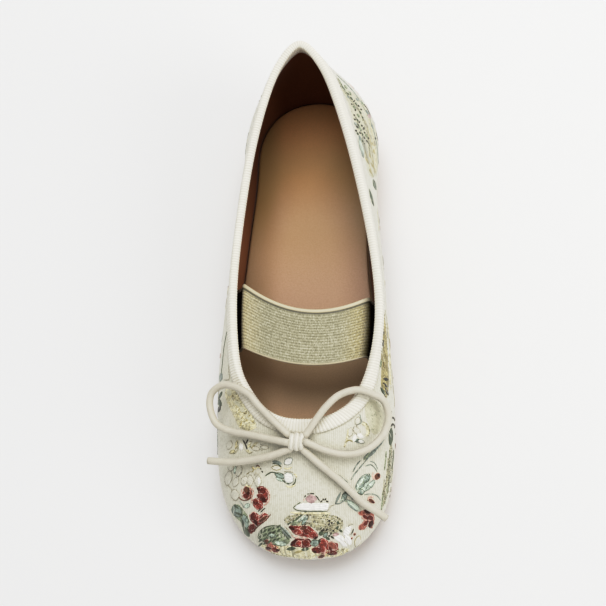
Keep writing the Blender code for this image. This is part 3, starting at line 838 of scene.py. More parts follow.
def crease_depths(points, around, shares):
    """How far each point of the wall sinks in its creases and in the gathers by the sole."""
    depths = np.zeros(points.shape[:2])
    t = np.linspace(0, 1, CREASE_STEPS)
    steps = np.arange(CREASE_STEPS)
    for c in CREASES:
        places = section_place(c.start) * (1 - t) + section_place(c.end) * t
        heights = c.start_share * (1 - t) + c.end_share * t
        path = wall_grid(places, share=heights)[0][steps, steps]
        fade = np.ones(CREASE_STEPS)
        if c.start != c.end:
            fade = np.sin(math.pi * np.clip(t, CREASE_END, 1 - CREASE_END)) ** 0.5
        away = np.linalg.norm(points[:, :, None, :] - path[None, None], axis=3)
        near = away.argmin(axis=2)
        depths += c.depth * fade[near] * np.exp(-((away.min(axis=2) / c.width) ** 2))
    drift, drifts = PUCKER_DRIFT
    turn = 2 * math.pi * around
    wave = 0.5 + 0.5 * np.sin(PUCKERS * turn + drift * np.sin(drifts * turn))
    low = np.exp(-((np.asarray(shares) / PUCKER_REACH) ** 2))
    return depths + PUCKER_DEPTH * low[:, None] * wave[None, :]


def weave_map(points, faces):
    """A flat map in millimetres for each corner of square faces, with ribs along the shoe."""
    corners = points[np.array(faces)]
    facing = np.cross(corners[:, 2] - corners[:, 0], corners[:, 3] - corners[:, 1])
    side = np.abs(facing[:, 0]) > SIDE_FACING * np.linalg.norm(facing, axis=1)
    x, y, z = corners[:, :, 0], corners[:, :, 1], corners[:, :, 2]
    from_side, from_above = np.stack([z, y], axis=2), np.stack([x, y - z], axis=2)
    return np.where(side[:, None, None], from_side, from_above).reshape(-1, 2)


def make_upper(material):
    """The brocade: the wall's outer layer, with its creases."""
    around = np.linspace(0, 1, UPPER_SPOKES, endpoint=False)
    shares = np.linspace(0, 1, UPPER_STEPS + 1)
    outside, facing = wall_grid(around, share=shares)
    outside = outside - facing * crease_depths(outside, around, shares)[:, :, None]
    hidden, normals = wall_grid(around, share=np.linspace(1, 0, HIDDEN_STEPS + 1))
    rings = np.concatenate([outside, hidden - normals * CLOTH])
    points = rings.reshape(-1, 3)
    faces = ring_faces(len(rings), UPPER_SPOKES)
    return make_piece("brocade_upper", points, faces, material, weave_map(points, faces))


def make_lining(material):
    """The lining: the wall's inner layer."""
    around = np.linspace(0, 1, UPPER_SPOKES // 2, endpoint=False)
    hidden, hidden_normals = wall_grid(around, share=np.linspace(0, 1, HIDDEN_STEPS + 1))
    inside, normals = wall_grid(around, share=np.linspace(1, 0, UPPER_STEPS // 2 + 1))
    rings = np.concatenate([hidden - hidden_normals * (CLOTH + LINING_GAP), inside - normals * WALL])
    return make_piece("lining", rings.reshape(-1, 3), ring_faces(len(rings), len(around)), material)


RIBBON_PITCH = 1.05
RIBBON_RIB = 0.16  # height of its ribs
RIB_STEPS = 6  # points round the binding for each rib
RIM_SPOKES = 720  # places that measure the rim

# The ribbon's outer leg, by the distance along the shoe: drawn down further at the throat and heel
LEG_PLACES = (-54.0, -42.0, -34.0, -22.0, 5.0, 20.0, 40.0, 60.0, 95.0)
LEG_LATERAL = (4.6, 4.2, 3.7, 3.0, 3.0, 3.0, 3.6, 4.2, 4.8)
LEG_MEDIAL = (4.6, 4.2, 3.2, 1.8, 1.6, 2.2, 2.8, 4.2, 4.8)
RIBBON_NEAR = 0.1  # the ribbon's faces, measured from the wall's
RIBBON_FAR = 0.55
RIBBON_EDGE = 0.1  # how far its edge and its fold are rounded
LEG_SHARES = (0.75, 0.5, 0.25, 0.08)  # points up the outer leg
FOLD_TURNS = (0, 25, 50, 70, 90, 110, 130, 155, 180)  # points over the fold, in degrees
INSIDE_SHARES = (0.3, 0.65, 1.0)  # points down the inner leg
FLAT_FIRST = 2  # of its points, these many at the outer edge and on the back have no ribs
FLAT_LAST = 3


def fold_section(leg):
    """The folded ribbon's outline: how far below the rim, and how far out from the wall's outer face."""
    near, far, middle = RIBBON_NEAR, RIBBON_FAR, -WALL / 2
    top = -far - GAP
    outer = [(leg, near), (leg + RIBBON_EDGE, (near + far) / 2), (leg, far)]
    outer += [(leg * s, far) for s in LEG_SHARES]
    half = far - middle
    fold = [
        (-RIBBON_EDGE + (top + RIBBON_EDGE) * math.sin(a), middle + half * math.cos(a))
        for a in np.radians(FOLD_TURNS)
    ]
    inner = [(RIBBON_INSIDE * s, -WALL - far) for s in INSIDE_SHARES]
    back = [(RIBBON_INSIDE, -WALL - near), (-near, -WALL - near), (-near, near)]
    return outer + fold + inner + back


def make_binding(material, ribs):
    """The ribbon folded over the opening's edge, with its cross ribs raised."""
    coarse = np.linspace(0, 1, RIM_SPOKES, endpoint=False)
    rim = wall_grid(coarse, below_rim=[0.0])[0][0]
    steps = ring_steps(rim)
    length = steps.sum()
    count = round(length / RIBBON_PITCH)
    run = np.arange(count * RIB_STEPS) / RIB_STEPS  # counted in ribs
    around = np.interp(run / count, np.append(0, np.cumsum(steps)) / length, np.append(coarse, 1.0))
    across, along = (np.interp(around, coarse, rim[:, k], period=1.0) for k in (0, 1))
    lateral, medial = (np.interp(along, LEG_PLACES, widths) for widths in (LEG_LATERAL, LEG_MEDIAL))
    folds = fold_section(np.where(across < 0, lateral, medial))
    points, normals = wall_grid(around, below_rim=[below for below, _ in folds])
    section = np.array(fold_section(max(LEG_LATERAL)))
    rings = points + normals * section[:, 1, None, None]
    girth = run_along(section)
    faces = ring_faces(len(rings), len(around))
    level, place = np.divmod(np.array(faces), len(around))
    joined = (place == 0) & (place.max(axis=1, keepdims=True) == len(around) - 1)  # the map runs on here
    distance = np.where(joined, count, run[place]) * RIBBON_PITCH
    uv = np.stack([distance, girth[level]], axis=2).reshape(-1, 2)
    piece = make_piece("topline_ribbon", rings.reshape(-1, 3), faces, material, uv)
    proud = np.ones(len(section))
    proud[:FLAT_FIRST] = 0.0
    proud[-FLAT_LAST:] = 0.0
    set_point_values(piece, "run", np.tile(run, len(rings)))
    set_point_values(piece, "proud", np.repeat(proud, len(around)))
    return apply_tree(piece, ribs, Pitch=1.0, Height=RIBBON_RIB * METRES, Material=material)


SIDE_SPOKES = 768  # places that find where the strap meets the rim


def place_round(y, side):
    """Where the rim crosses a distance along the shoe, round the shoe from 0 to 1, on one side."""
    around = np.linspace(0, 1, SIDE_SPOKES, endpoint=False)
    rim = wall_curves(around)[:, -1]
    chosen = np.flatnonzero(np.sign(rim[:, 0]) == side)
    return around[chosen[np.abs(rim[chosen, 1] - y).argmin()]]


STRAP_COLUMNS = 121
STRAP_MIDDLE = STRAP_COLUMNS // 2
STRAP_ARCH = 48
STRAP_STEP = 0.8  # between the rows of points along the elastic
STRAP_END_STEPS = 12
STRAP_EXIT = 0.12  # where it leaves the wall, as a share of its tuck
LEAN_DEPTHS = (STRAP_EXIT, 0.45, 0.7, 1.0)  # shares of the tuck, and how much it leans in there
LEAN_SHARES = (1.0, 1.5, 1.2, 0.0)
SHOULDER = 1.5  # how far the bend at its shoulders is spread along it
STRAP_RIB = 0.06  # height of its ribs, which is part of its thickness
STRAP_SPARE = 0.15  # how much each face is kept inside the solid's, for the ribs
ROLL_RISE = 0.12  # the back edge is thicker by this, and swells over this width
ROLL_WIDTH = 0.3
EDGE_WIDTH = 0.5  # over which both edges thin to this share
EDGE_SHARE = 0.35


def strap_grid():
    """Middle surface of the elastic: rows from its lateral end to its medial end, and columns across."""
    columns = np.linspace(-0.5, 0.5, STRAP_COLUMNS)
    clear = WALL + GAP + RIBBON + GAP + STRAP_THICKNESS / 2
    depths = np.linspace(1.0, STRAP_EXIT, STRAP_END_STEPS)
    lean = STRAP_LEAN * np.interp(depths, LEAN_DEPTHS, LEAN_SHARES)
    ends = []
    for side, middle_y, width in (
        (-1, STRAP_LATERAL_Y, STRAP_LATERAL_WIDTH),
        (1, STRAP_MEDIAL_Y, STRAP_MEDIAL_WIDTH),
    ):
        marks = (-0.5, 0.0, 0.5)  # the edges and the middle
        places = np.interp(columns, marks, [place_round(middle_y + c * width, side) for c in marks])
        points, normals = wall_grid(places, below_rim=STRAP_TUCK * depths)
        ends.append(points - normals * (clear + lean)[:, None, None])
    lateral, medial = ends
    drawn_in = 1 - 2 * STRAP_WIDTH / (STRAP_LATERAL_WIDTH + STRAP_MEDIAL_WIDTH)
    rows = list(lateral)
    for turn in np.linspace(0, math.pi, STRAP_ARCH)[1:-1]:
        s = (1 - math.cos(turn)) / 2
        bow = 4 * s * (1 - s)
        row = lateral[-1] * (1 - s) + medial[-1] * s
        row += (row[STRAP_MIDDLE] - row) * drawn_in * bow
        row[:, 1] -= STRAP_FORWARD * bow
        row[:, 2] += STRAP_CROWN * bow**0.5
        rows.append(row)
    rows = np.array(rows + list(medial[::-1]))
    run = run_along(rows[:, STRAP_MIDDLE])
    places = np.linspace(0, run[-1], round(run[-1] / STRAP_STEP) + 1)
    near = np.exp(-(((places[:, None] - run[None, :]) / SHOULDER) ** 2)) * np.gradient(run)[None, :]
    near[0], near[-1] = 0, 0
    near[0, 0], near[-1, -1] = 1, 1
    near /= near.sum(axis=1)[:, None]
    return np.tensordot(near, rows, axes=1)


def make_strap(material, ribs):
    """The elastic over the instep, its lengthwise ribs raised and its back edge thick."""
    grid = strap_grid()
    facing = unit(np.cross(np.gradient(grid, axis=1), np.gradient(grid, axis=0)))
    columns = np.linspace(-0.5, 0.5, STRAP_COLUMNS) * STRAP_WIDTH
    roll = np.clip((columns - STRAP_WIDTH / 2 + SELVAGE) / ROLL_WIDTH, 0, 1)
    edge = np.clip((STRAP_WIDTH / 2 - np.abs(columns)) / EDGE_WIDTH, 0, 1) ** 0.5
    half = STRAP_THICKNESS / 2 - STRAP_SPARE + ROLL_RISE * roll
    half = half * (EDGE_SHARE + (1 - EDGE_SHARE) * edge)
    over = grid + facing * half[None, :, None]
    under = grid - facing * half[None, :, None]
    sections = np.concatenate([over, under[:, ::-1]], axis=1)
    along = run_along(grid[:, STRAP_MIDDLE])
    along -= along[-1] / 2
    across = np.concatenate([columns, columns[::-1]])
    faces = loft_faces(len(sections), 2 * STRAP_COLUMNS)
    uv = flat_map(across[None, :], along[:, None])
    piece = make_piece("elastic_strap", sections.reshape(-1, 3), faces, material, uv)
    proud = np.concatenate([1 - roll, 1 - roll])
    set_point_values(piece, "run", np.tile(across, len(sections)))
    set_point_values(piece, "proud", np.tile(proud, len(sections)))
    return apply_tree(piece, ribs, Pitch=STRAP_PITCH, Height=STRAP_RIB * METRES, Material=material)


STATIONS = 150  # along the sole
SEAM_SPOKES = 1600  # places that find its outline

# Rings round the sole and the sock from the top down: how far in from the seam, and at what share of
# the way down the sole, or up the sock
SOLE_SIDE = [
    (0.6, 0.0), (0.3, 0.06), (0.2, 0.2), (0.2, 0.45), (0.3, 0.7),
    (0.5, 0.84), (0.85, 0.94), (1.3, 0.985), (1.9, 1.0),
]
SOCK_SIDE = [(3.5, 1.0), (1.4, 0.985), (0.75, 0.93), (0.4, 0.82), (GAP, 0.65), (GAP, 0.0)]


def seam_edges(inset, stations):
    """Lateral and medial x of the sole's seam, drawn in by inset, at each distance along the shoe."""
    around = np.linspace(0, 1, SEAM_SPOKES, endpoint=False)
    line = closed_spline(section_sizes(), around)[:, :2] - outward(around) * inset - CENTRE[:2]
    back, front = int(line[:, 1].argmax()), int(line[:, 1].argmin())
    turned = np.roll(line, -back, axis=0)
    tip = (front - back) % len(line)
    lateral, medial = turned[: tip + 1][::-1], np.vstack([turned[tip:], turned[:1]])
    low, high = line[:, 1].min(), line[:, 1].max()
    y = low + (high - low) * (np.asarray(stations) + 1) / 2
    return y, np.interp(y, lateral[:, 1], lateral[:, 0]), np.interp(y, medial[:, 1], medial[:, 0])


def seam_ring(inset, level, heights):
    """The sole's outline drawn in from the seam, from the toe by the lateral side.

    Its heights come from the distance along the shoe and a level.
    """
    y, left, right = seam_edges(inset, -np.cos(np.linspace(0, math.pi, STATIONS)))
    across = np.concatenate([left, right[-2:0:-1]])
    along = np.concatenate([y, y[-2:0:-1]])
    return np.column_stack([across, along, [heights(place + CENTRE[1], level) for place in along]])


def span_faces(start):
    """Upward faces across a seam ring, between its lateral and medial points."""
    around = 2 * STATIONS - 2
    faces = []
    for k in range(STATIONS - 1):
        corners = (k, -k % around, -(k + 1) % around, k + 1)
        faces.append(tuple(start + c for c in dict.fromkeys(corners)))
    return faces


def stack_rings(name, side, heights, material):
    """A closed piece through seam rings from its top to its bottom."""
    rings = [seam_ring(inset, level, heights) for inset, level in side]
    around = len(rings[0])
    last = (len(rings) - 1) * around
    faces = span_faces(0) + [face[::-1] for face in span_faces(last)]
    faces += ring_faces(len(rings), around)[:last]
    return make_piece(name, np.concatenate(rings), faces, material)


def make_outsole(material):
    """The moulded sole with its lower edge rounded."""

    def heights(y, level):
        top, bottom = float(sole_top(y)), sole_bottom(y)
        return top + (bottom - top) * level

    return stack_rings("moulded_sole", SOLE_SIDE, heights, material)


def make_insole(material):
    """The sock on the sole, soft at its edge."""

    def heights(y, level):
        return float(sole_top(y)) + GAP + INSOLE_THICKNESS * level

    side = [(WALL + inset, level) for inset, level in SOCK_SIDE]
    return stack_rings("sock", side, heights, material)


# The bow

CORD_SIDES = 20
CORD_STEP = 0.8  # between the rings of points along a cord
ROUTE_PIECES = 20  # points that measure each step of a cord's route
CORD_RUN_IN = 1.8  # how far a cord's end runs on into the knot
CORD_SLANT = 0.6  # how far its weave slants, for each millimetre along it
KNOT_TURNS = (-1.75, 0.0, 1.75)  # where its turns lie across the knot
KNOT_STEPS = 48  # rings of points round each turn
KNOT_LONG = 2.15  # half the length of a turn's middle line, and half its height
KNOT_HIGH = 1.25
KNOT_CORD = 1.05  # radius of a turn
KNOT_SKEW = 0.5  # how far each turn slants across
KNOT_SWELL = 0.1  # how much larger the middle turn is
KNOT_MAP = 1.8  # millimetres of its weave to one radian round a turn


def smooth_route(steps, spacing):
    """Points along a smooth curve through a cord's steps, about this far apart."""
    fine = smooth_points(KNOT_MIDDLE + np.array(steps) - CENTRE, pieces=ROUTE_PIECES)
    run = run_along(fine)
    return points_at(np.linspace(0, run[-1], max(2, round(run[-1] / spacing)) + 1), run, fine)


def tube_sections(route, radius):
    """Rings round a route, turning no more than the route does."""
    ahead = unit(np.gradient(route, axis=0))
    side = np.cross(ahead[0], (0.0, 0.0, 1.0))
    rings = []
    angles = np.linspace(0, 2 * math.pi, CORD_SIDES, endpoint=False)
    for place, forward in zip(route, ahead):
        side = unit(side - forward * side.dot(forward))
        up = np.cross(forward, side)
        rings.append(place + radius * (np.outer(np.cos(angles), side) + np.outer(np.sin(angles), up)))
    return np.array(rings)


def make_cord(name, steps, material, ends):
    """One cord of the bow, run on into the knot at its first end or at both, and its route."""
    route = smooth_route(steps, CORD_STEP)
    first, last = unit(route[0] - route[1]), unit(route[-1] - route[-2])
    route = np.vstack([route[0] + first * CORD_RUN_IN, route])
    if ends == 2:
        route = np.vstack([route, route[-1] + last * CORD_RUN_IN])
    rings, run = tube_sections(route, CORD / 2), run_along(route)
    turn = np.linspace(0, math.pi * CORD, CORD_SIDES, endpoint=False)
    uv = flat_map(turn[None, :] + CORD_SLANT * run[:, None], run[:, None])
    faces = loft_faces(len(rings), CORD_SIDES)
    return make_piece(name, rings.reshape(-1, 3), faces, material, uv), route


def make_knot(material):
    """The knot: turns of the cord side by side, tilted as the vamp under them."""
    turn = np.linspace(0, 2 * math.pi, KNOT_STEPS, endpoint=False)[:, None]
    round_cord = np.linspace(0, 2 * math.pi, CORD_SIDES, endpoint=False)[None, :]
    tilt = math.radians(KNOT_TILT)
    points, faces, uv = [], [], []
    for index, across in enumerate(KNOT_TURNS):
        swell = 1.0 + KNOT_SWELL * (across == 0.0)
        out = KNOT_CORD * np.cos(round_cord)
        along = (KNOT_LONG * swell + out) * np.cos(turn)
        up = (KNOT_HIGH * swell + out) * np.sin(turn)
        x = across + KNOT_SKEW * np.sin(turn) * np.cos(turn) + KNOT_CORD * np.sin(round_cord) + 0 * turn
        y = along * math.cos(tilt) - up * math.sin(tilt)
        z = along * math.sin(tilt) + up * math.cos(tilt)
        start = index * turn.size * CORD_SIDES
        points.append(np.stack([x, y, z], axis=2).reshape(-1, 3) + KNOT_MIDDLE - CENTRE)
        faces += [tuple(start + v for v in reversed(face)) for face in ring_faces(turn.size, CORD_SIDES)]
        uv.append(flat_map(round_cord * KNOT_CORD + across, turn * KNOT_MAP))
    return make_piece("cord_knot", np.concatenate(points), faces, material, np.concatenate(uv))


# The photograph's camera

PHOTO_SIZE = 606.0  # the photograph's width and height in its own pixels
PHOTO_FOCUS = 680.0  # its focal length in the same pixels
PHOTO_PLACE = np.array([55.777, -132.415, 366.466])  # where its camera stood, in the sections' frame
PHOTO_UP = np.array([0.0325, 0.9395, 0.3409])  # up in the picture
PHOTO_FORWARD = np.array([-0.0440, 0.3421, -0.9386])
FRAME_MIDDLE = (227.0, 297.0)  # the photograph's pixel that the render centres
FRAME_WIDTH = 440.0  # how many of its pixels the render spans


def pixel_ray(x, y):
    """The direction in which the photograph's camera saw a pixel."""
    right = np.cross(PHOTO_FORWARD, PHOTO_UP)
    middle = PHOTO_SIZE / 2
    return unit(PHOTO_FORWARD * PHOTO_FOCUS + right * (x - middle) - PHOTO_UP * (y - middle))


# Embroidery: the brocade's flowers, as patches and lines of raised thread. A spray is drawn round its
# middle in the photograph's pixels, x to the right and y down, and laid on the cloth along its camera's
# rays. The same sprays are laid again at the same size on the sides that it doesn't show.

PIXEL = 0.52  # millimetres of cloth across one of its pixels
SINK = 0.12  # how far the edges of the thread lie in the cloth
PETAL_RISE = 0.17
LEAF_RISE = 0.14
EDGE_RISE = 0.11
PATCH_RISE = 0.08
LINE_RISE = 0.16
BAND_RISE = 0.10
PATCH_STEP = 1.3  # between the points that hold a patch to the cloth
EDGE = 0.9  # how much wider than its petal the pink thread under it is, in the same pixels
OUTLINE = 0.5  # width of a petal's outline, in the photograph's pixels
BAND = 3.0  # a line this wide is a flat band
RAGGED = 0.13  # how uneven the stitched edges are
WANDER = (0.3, 0.35)  # how far a patch's border wanders, across and down, in the same pixels
WANDER_TURN = 2.4  # radians of that from one point to the next
MARK_POINTS = 20  # round a petal or leaf
LEAF_TAPER = 0.6  # how sharp a leaf's ends are
PETAL_FULL = 0.3  # how full a petal's are
PATCH_SHOULDER = (0.94, 0.7)  # a patch's rounded shoulder: share of its width, and of its height
PATCH_TOP = 0.75  # share of its width that is flat
LINE_TOP = 0.6  # the same for a line
LINE_TAPER = (0.12, 2.2)  # how a line narrows to its ends: where on a half turn, and how fast
PATCH_PIECES = 4  # points for each step of its drawn border
LAYER = 0.008  # between threads that lie over each other
LAYERS = {"line": 4, "mark": 5, "edge": 3}  # after so many the heights begin again
APART = 0.005  # points of a border nearer than this have met at the cloth's edge
MET = 1e-9  # keeps a direction where two points have met

THREADS = {
    "red": "9B5044", "deep red": "79382D", "maroon": "4E261C", "brick": "AA7160", "brown": "74503D",
    "pink": "D6B5A8", "mauve": "BCA5A2", "white": "EDEBE3", "snow": "F3F1EB", "cream": "D9D6C8",
    "ivory": "DEDBCE", "taupe": "B4AF9E", "slate": "989F97", "teal": "9DA89E", "mint": "CCD7C8",
    "sage": "A2A990", "green": "626A56", "dark": "4A473B", "gold": "E0D8B6", "straw": "DAD5BB",
    "bronze": "AFA57E", "olive": "B7B299", "pale olive": "D2CFBA", "khaki": "B0A57C",
}
PALE = ("white", "snow", "cream", "ivory", "pale olive")  # threads that lie evenly
REDS = ("red", "deep red", "brick", "brown")  # petals with a thin paler edge
DENSE = PALE + REDS + ("maroon",)  # threads that hide the ground
OUTLINED = {  # petals and leaves edged in another thread
    "white": "slate", "cream": "taupe", "ivory": "bronze", "mint": "slate", "teal": "green",
    "gold": "bronze",
}

# A spray's middle is a pixel of the photograph, and all else is measured from there. Petals and leaves
# are rows of Mark's columns, where turn is clockwise from straight up. A line is a row of its thread,
# its width and its points, and a patch of its thread and its border's points.
Mark = namedtuple("Mark", "thread x y turn length width")
Spray = namedtuple("Spray", "middle petals leaves lines patches", defaults=((), (), (), ()))

BERRIES = Spray((192, 448), petals=[
    ("brown", -6.4, -13.8, 10, 6, 5), ("deep red", -6.8, -9.6, 100, 5.2, 4.4),
    ("maroon", -5.4, -11.4, 20, 3.4, 2.6), ("deep red", 5.6, -13.6, 60, 6, 5),
    ("maroon", 2.4, -14.4, 125, 4, 1.8), ("red", 7.2, -10.8, 170, 5.6, 4.4),
    ("deep red", 3.8, -9.4, 110, 5.6, 4.4), ("maroon", 6, -7.2, 30, 4.2, 3.2),
    ("deep red", 0.2, -5.2, 150, 5.6, 4.4), ("red", 2.4, -2.2, 150, 5.6, 4.6),
    ("deep red", -1.6, 5.4, 10, 6.4, 5), ("red", 1.2, 6.6, 20, 4.6, 2.8), ("maroon", 0, 9.6, 150, 4.8, 3),
    ("brown", 5.8, 7, 50, 8.4, 2.8), ("deep red", -2.6, 13.4, 40, 6, 4.4),
    ("maroon", -4.2, 15.6, 40, 3.6, 2.8),
], leaves=[
    ("teal", -13.8, 1.8, 150, 10, 7.6), ("green", -12.4, 3.8, 110, 7.6, 2),
    ("green", -14, -1, 120, 5, 1.8), ("teal", -7.6, 9.4, 165, 11, 5), ("green", -8.8, 11.2, 165, 9, 1.8),
    ("green", -6.6, 17, 150, 8.4, 4), ("mint", -6.2, -2.2, 50, 4.6, 3),
], lines=[
    ("brown", 0.8, (11.5, 3.5), (7, 8.5), (2, 12.5), (-2.5, 17.5)),
    ("pink", 1.3, (8.8, -14.8), (10.2, -11), (10, -7), (7.6, -3.6), (4.8, -2.6)),
    ("pink", 1.2, (-10.2, -14.6), (-10.4, -11), (-9.2, -7.8)),
    ("pink", 1.1, (-2.4, -15.4), (-1.6, -12), (-2.8, -8), (-3.2, -4)),
    ("pink", 1.3, (0.6, 8), (3.6, 4.8), (7, 2.2)), ("dark", 0.8, (3.8, 2.4), (5.6, 0.4), (7.2, -0.8)),
    ("dark", 0.7, (1.8, 1.8), (3.8, 0)),
    ("brown", 0.7, (-12.6, -8.6), (-10, -6.4), (-6, -6.3), (-2.4, -9)),
    ("slate", 0.8, (-11.8, -5.6), (-9.8, -3), (-8.6, -0.6)),
], patches=[
    ("brick", (-7.6, -16.8), (-4, -16.4), (-2.4, -12), (-4, -7.2), (-8, -6.8), (-9.8, -11.4)),
    ("deep red", (0.6, -16.4), (5, -17), (8.8, -14.8), (9.6, -10), (8.2, -5), (4.6, -4.8), (1.2, -8.4),
     (2, -12)),
    ("red", (-2, -7.2), (2, -8), (5.4, -4.8), (5, 0), (1, 0.6), (-2.2, -3)),
    ("red", (-4.4, 4), (0, 2.4), (3, 4.6), (7, 2.8), (10, 4.4), (7.4, 9), (3.6, 11), (0.6, 12.6),
     (-2, 10.6), (-4.4, 7.8)),
    ("deep red", (-5.4, 12.2), (-1.4, 10.6), (1, 13.4), (-1.2, 17), (-5, 18.4), (-6.8, 15)),
    ("sage", (-17, -2), (-13, -3.4), (-8.6, 1), (-5.4, 6), (-4, 13), (-3.6, 19), (-8, 18), (-11, 10),
     (-15.6, 5.6)),
])
DAISY = Spray((183, 430), petals=[
    ("cream", -3.4, -9.8, 185, 9, 5.2), ("cream", 0.6, -2.6, 200, 8, 4.6),
    ("cream", 5, -2.8, 180, 9, 4.6), ("cream", 10.8, -2.4, 180, 9.4, 5),
    ("snow", 11.6, -2.6, 180, 7, 2.2), ("snow", 1.6, -2.4, 195, 6, 1.6),
    ("mint", -6.2, -10.4, 190, 5.6, 1.8), ("snow", -10.2, -3.4, 190, 8, 1.8),
    ("cream", -11.1, -4.2, 190, 12, 5.2), ("cream", -6.2, 8, 170, 9, 6),
    ("cream", -9.4, -12, 190, 5.6, 4.2), ("cream", -5.6, -1.6, 205, 8, 4.4),
], lines=[
    ("taupe", 0.9, (-6.4, -13), (-5.2, -9), (-3.8, -6.4), (-2, -8), (-0.6, -11.4)),
    ("dark", 0.9, (-2.4, -7.6), (-1.2, -9.2)), ("taupe", 0.9, (-1.8, -1.4), (0.2, -3.6), (1, -6)),
    ("taupe", 0.8, (0, -3), (1.6, 0.8)), ("bronze", 0.9, (2.4, -7.2), (4, -8.4), (5.8, -9.6)),
    ("bronze", 0.9, (6.2, -12.6), (7.4, -10.6), (6.4, -8.8)),
    ("gold", 1.2, (6.6, -13), (8.8, -11.2), (10.6, -12.8), (12.6, -11.2)),
    ("taupe", 0.9, (8.2, -6.2), (9.2, -8.4), (11, -7), (12, -8.6)),
    ("gold", 1.2, (1, -0.2), (4, 2), (5.8, 0)), ("dark", 1, (12.2, -12), (13.2, -11)),
    ("dark", 1, (13.4, -10), (14.4, -8.8)), ("brown", 0.7, (9.2, -13.2), (10.8, -14), (12, -12.6)),
    ("taupe", 0.8, (-13, 0), (-10, 2.6), (-8.7, 4.4), (-9.2, 8), (-7.6, 11.4), (-5.6, 12.4)),
    ("taupe", 0.8, (-5.6, 12.4), (-3.8, 9.8), (-2.4, 11)),
])
BUDS = Spray((212, 420), petals=[
    ("ivory", -4.6, -2.4, 95, 7.4, 3.4), ("white", 4.2, -7.2, 50, 7.4, 4.6),
    ("white", 4.4, 4.8, 130, 8.6, 7.4),
], leaves=[
    ("slate", -4, -6.2, 105, 8, 3), ("teal", -2, 3.2, 110, 8, 3.8), ("mint", -2.2, 6, 115, 6, 2),
], lines=[
    ("green", 1, (-13, 3.8), (-10.4, 2), (-8, 0.9), (-4, 1.6), (-1, 3.2)),
    ("green", 0.9, (-7.4, -5.2), (-4.6, -5.6), (-0.8, -3.2)),
    ("green", 1, (-0.6, 6), (2.4, 8.4), (5, 9.4)), ("green", 0.9, (9.8, 5), (9, 8.2), (7.2, 10)),
    ("taupe", 0.8, (1, 0.4), (4.4, 0.2), (7.8, 0.8)), ("gold", 1.2, (2.6, 10.6), (6, 11.4), (9.4, 9.6)),
    ("gold", 1.1, (8.2, 1.8), (9.8, 2.6), (10, 4.4)), ("gold", 1, (1, -2.4), (3.6, -1.8), (7, -3.2)),
])
BARGE = Spray((234, 444), petals=[
    ("mauve", -1, -4.2, 0, 6.4, 9.4), ("dark", 6.4, -2.6, 40, 1.8, 1.2), ("dark", 7.8, -4, 10, 1.8, 1.1),
    ("dark", 9.4, -4.2, 40, 1.8, 1.1), ("dark", 10.7, -2.7, 110, 2, 1.2),
], lines=[
    ("dark", 0.9, (-6.2, -5.2), (-4.8, -6.8)), ("dark", 0.9, (-4, -7.7), (-1, -8.2), (1.4, -8)),
    ("dark", 0.8, (2.2, -6.8), (4.2, -4.6), (5.2, -2.6)), ("pink", 0.8, (-6.4, -2.6), (-6.2, -4.2)),
    ("green", 0.7, (-14.2, 2.4), (-11.6, 0.2), (-8.6, -1.6)),
    ("green", 0.7, (-14.2, 2.4), (-11, 4.3), (-4, 4.8), (4, 4.7), (10.8, 4.5)),
    ("taupe", 0.7, (10.8, 4.5), (12.2, 2.4), (13.6, 0.6), (16, -0.4)),
    ("gold", 1.8, (-16.4, 5.8), (-8, 6.4), (2, 6.2), (13, 5.8)),
], patches=[
    ("snow", (-13.4, 2.2), (-10, -0.4), (-6, -1.2), (0, -1.4), (6, -1.2), (12, -1.4), (11.8, 2),
     (10.6, 4), (4, 4.2), (-4, 4.3), (-10.4, 3.8)),
])
MEADOW = Spray((237, 456), petals=[
    ("dark", 9.2, -0.8, 45, 1.8, 1.5), ("dark", 11, 0.8, 45, 1.8, 1.5), ("dark", 9, 1.8, 45, 1.7, 1.4),
    ("dark", 12.2, 6.4, 45, 1.8, 1.4), ("green", 15.6, 0.4, 20, 2.6, 2), ("green", 14.8, 4.2, 30, 3, 1.9),
    ("green", 17.6, 6.4, 120, 3.4, 1.7), ("green", 3.2, 8.6, 40, 5, 3.2),
    ("teal", 6.4, 9.6, 30, 4.2, 2.8), ("dark", 4.4, 6.4, 60, 3.4, 1.8), ("dark", 7.4, 5.8, 40, 2.8, 1.5),
    ("green", 8, 12, 120, 4, 2), ("dark", 10.4, 8.6, 45, 1.8, 1.4), ("dark", 11.4, 11.2, 130, 3.2, 1.6),
    ("dark", 9.2, 10.2, 45, 1.7, 1.3), ("mauve", 14, 9.2, 80, 5.4, 3),
], leaves=[
    ("sage", -13.4, -0.6, 235, 13, 4.4), ("mint", -10.6, -2, 230, 8, 2),
    ("teal", -8.6, -0.6, 215, 8, 2.8),
], lines=[
    ("green", 1.4, (-21.4, 3), (-19, 1.2), (-16.6, 0.2)),
    ("green", 1, (-16.6, 0.2), (-13, -2.8), (-9.4, -5.6), (-7.4, -6.6)),
    ("dark", 1, (-7.2, -5.8), (-6.4, -3.8)), ("ivory", 1, (-15, 0.8), (-11.6, -2.4), (-7.8, -5.4)),
], patches=[
    ("olive", (-24.6, 1), (-22, -3.6), (-13, -5.2), (-1, -5.2), (11, -5.2), (18, -3), (20.4, 1), (18, 6),
     (12, 9), (3, 8), (-6, 3.6), (-16, 4.2)),
])
